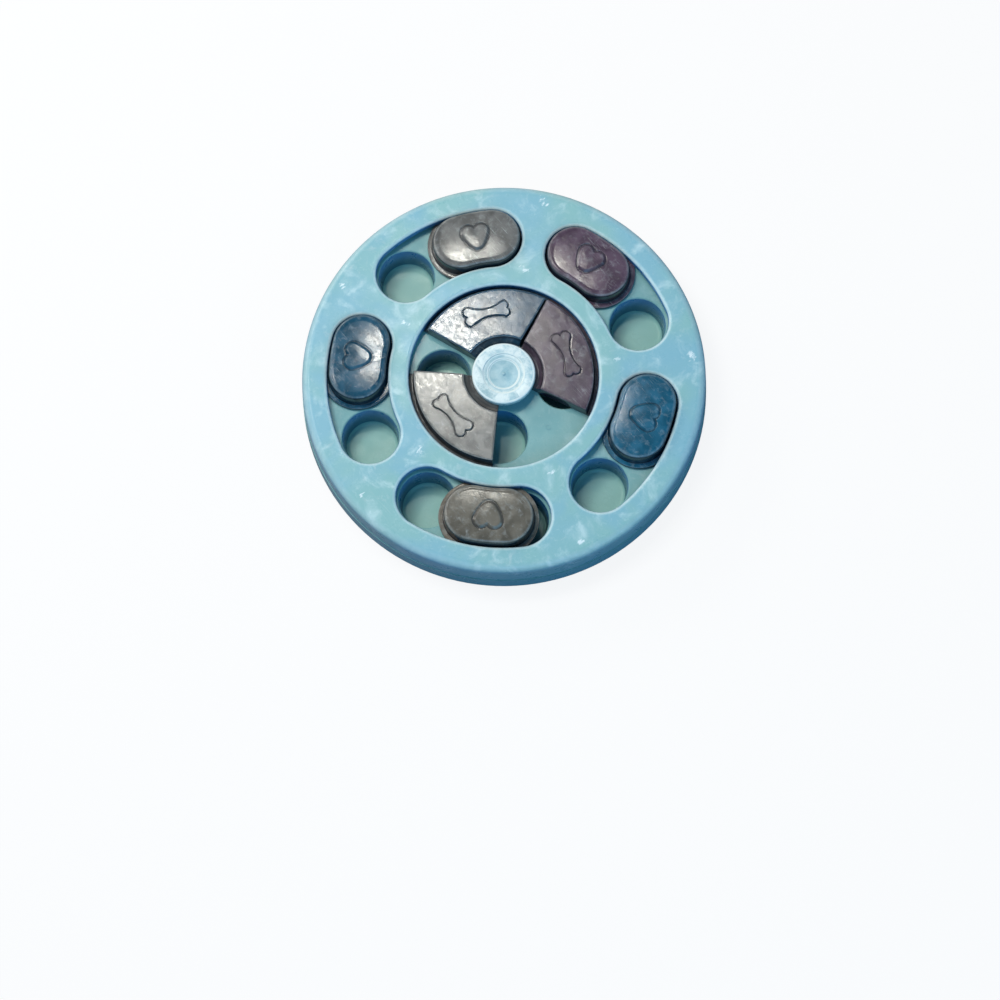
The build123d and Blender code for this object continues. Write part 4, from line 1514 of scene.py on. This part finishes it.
class FEEDER_OT_stage(bpy.types.Operator):
    """Sets the floor, the lamps, the world and the camera"""

    bl_idname = "feeder.stage"
    bl_label = "Stage"

    def execute(self, context):
        scene = context.scene
        scene.view_settings.view_transform = "Standard"
        self.floor(scene)
        self.world(scene)
        self.camera(scene)
        self.lamps(scene)
        return {"FINISHED"}

    @staticmethod
    def floor(scene):
        corners = [(x * FLOOR_REACH, y * FLOOR_REACH, 0) for x, y in ((-1, -1), (1, -1), (1, 1), (-1, 1))]
        data = bpy.data.meshes.new("floor")
        data.from_pydata(corners, [], [(0, 1, 2, 3)])
        material = bpy.data.materials.new("floor_paper")
        material.use_nodes = True
        tree = material.node_tree
        tree.nodes.clear()
        output = tree.nodes.new("ShaderNodeOutputMaterial")
        rays = add_node(tree, "ShaderNodeLightPath").outputs
        seen = calculate(tree, "MAXIMUM", rays["Is Camera Ray"], rays["Is Transmission Ray"])
        shade = mix_colour(tree, seen, FLOOR_BOUNCE, FLOOR_SEEN)
        paper = add_node(tree, "ShaderNodeBsdfDiffuse", {"Color": shade}).outputs[0]
        white = add_node(tree, "ShaderNodeEmission", {"Color": (1, 1, 1, 1), "Strength": 1.0}).outputs[0]
        share = times(tree, seen, FLOOR_GLOW)
        mixed = add_node(tree, "ShaderNodeMixShader", {0: share, 1: paper, 2: white}).outputs[0]
        tree.links.new(mixed, output.inputs["Surface"])
        data.materials.append(material)
        floor = bpy.data.objects.new("floor", data)
        scene.collection.objects.link(floor)

    @staticmethod
    def world(scene):
        world = bpy.data.worlds.new("Studio")
        world.use_nodes = True
        background = world.node_tree.nodes["Background"]
        background.inputs["Color"].default_value = SKY
        background.inputs["Strength"].default_value = SKY_STRENGTH
        scene.world = world

    @staticmethod
    def lamps(scene):
        for name, elevation, azimuth, distance, width, height, power, tint, mirrored in LAMPS:
            out = heading(elevation, azimuth)
            add_lamp(scene, name, Vector((0, 0, 0)), out, distance, width, height, power, tint, mirrored)
        name, spot, lean, azimuth, distance, width, height, power, tint = GLARE
        spot = Vector(spot)
        back = (scene.camera.matrix_world.translation - spot).normalized()
        face = heading(90 - lean, azimuth)
        out = 2 * back.dot(face) * face - back
        add_lamp(scene, name, spot, out, distance, width, height, power, tint)

    @staticmethod
    def camera(scene):
        data = bpy.data.cameras.new("Camera")
        data.sensor_width = CAMERA_SENSOR
        data.lens = CAMERA_LENS
        data.clip_end = CAMERA_REACH
        camera = bpy.data.objects.new("Camera", data)
        tilt = math.radians(CAMERA_TILT)
        roll = math.radians(CAMERA_ROLL)
        side, rise = Vector((1, 0, 0)), Vector((0, math.sin(tilt), math.cos(tilt)))
        ahead = Vector((0, math.cos(tilt), -math.sin(tilt)))
        right = side * math.cos(roll) + rise * math.sin(roll)
        up = rise * math.cos(roll) - side * math.sin(roll)
        place = right * CAMERA_OFFSET[0] + up * CAMERA_OFFSET[1] - ahead * CAMERA_DISTANCE
        turn = Matrix.Rotation(math.radians(CAMERA_TURN), 3, "Z")
        axes = Matrix((turn @ right, turn @ up, turn @ -ahead)).transposed().to_4x4()
        camera.matrix_world = Matrix.Translation(turn @ place) @ axes
        scene.collection.objects.link(camera)
        scene.camera = camera


class FEEDER_PT_pieces(bpy.types.Panel):
    """Lists what the add-on builds"""

    bl_label = "Puzzle feeder"
    bl_space_type = "VIEW_3D"
    bl_region_type = "UI"
    bl_category = "Feeder"

    def draw(self, context):
        for operator in OPERATORS:
            self.layout.operator(operator.bl_idname)


OPERATORS = (
    FEEDER_OT_tray,
    FEEDER_OT_cover,
    FEEDER_OT_rim_caps,
    FEEDER_OT_sector_caps,
    FEEDER_OT_hub,
    FEEDER_OT_screws,
    FEEDER_OT_feet,
    FEEDER_OT_stage,
)


def register():
    for name, group in SIZE_GROUPS.items():
        bpy.utils.register_class(group)
        setattr(bpy.types.Scene, name, bpy.props.PointerProperty(type=group))
    for operator in OPERATORS:
        bpy.utils.register_class(operator)
    bpy.utils.register_class(FEEDER_PT_pieces)


def unregister():
    bpy.utils.unregister_class(FEEDER_PT_pieces)
    for operator in reversed(OPERATORS):
        bpy.utils.unregister_class(operator)
    for name, group in reversed(SIZE_GROUPS.items()):
        delattr(bpy.types.Scene, name)
        bpy.utils.unregister_class(group)


def main():
    register()
    bpy.ops.feeder.tray()
    bpy.ops.feeder.cover()
    bpy.ops.feeder.rim_caps()
    bpy.ops.feeder.sector_caps()
    bpy.ops.feeder.hub()
    bpy.ops.feeder.screws()
    bpy.ops.feeder.feet()
    bpy.ops.feeder.stage()


if __name__ == "__main__":
    main()
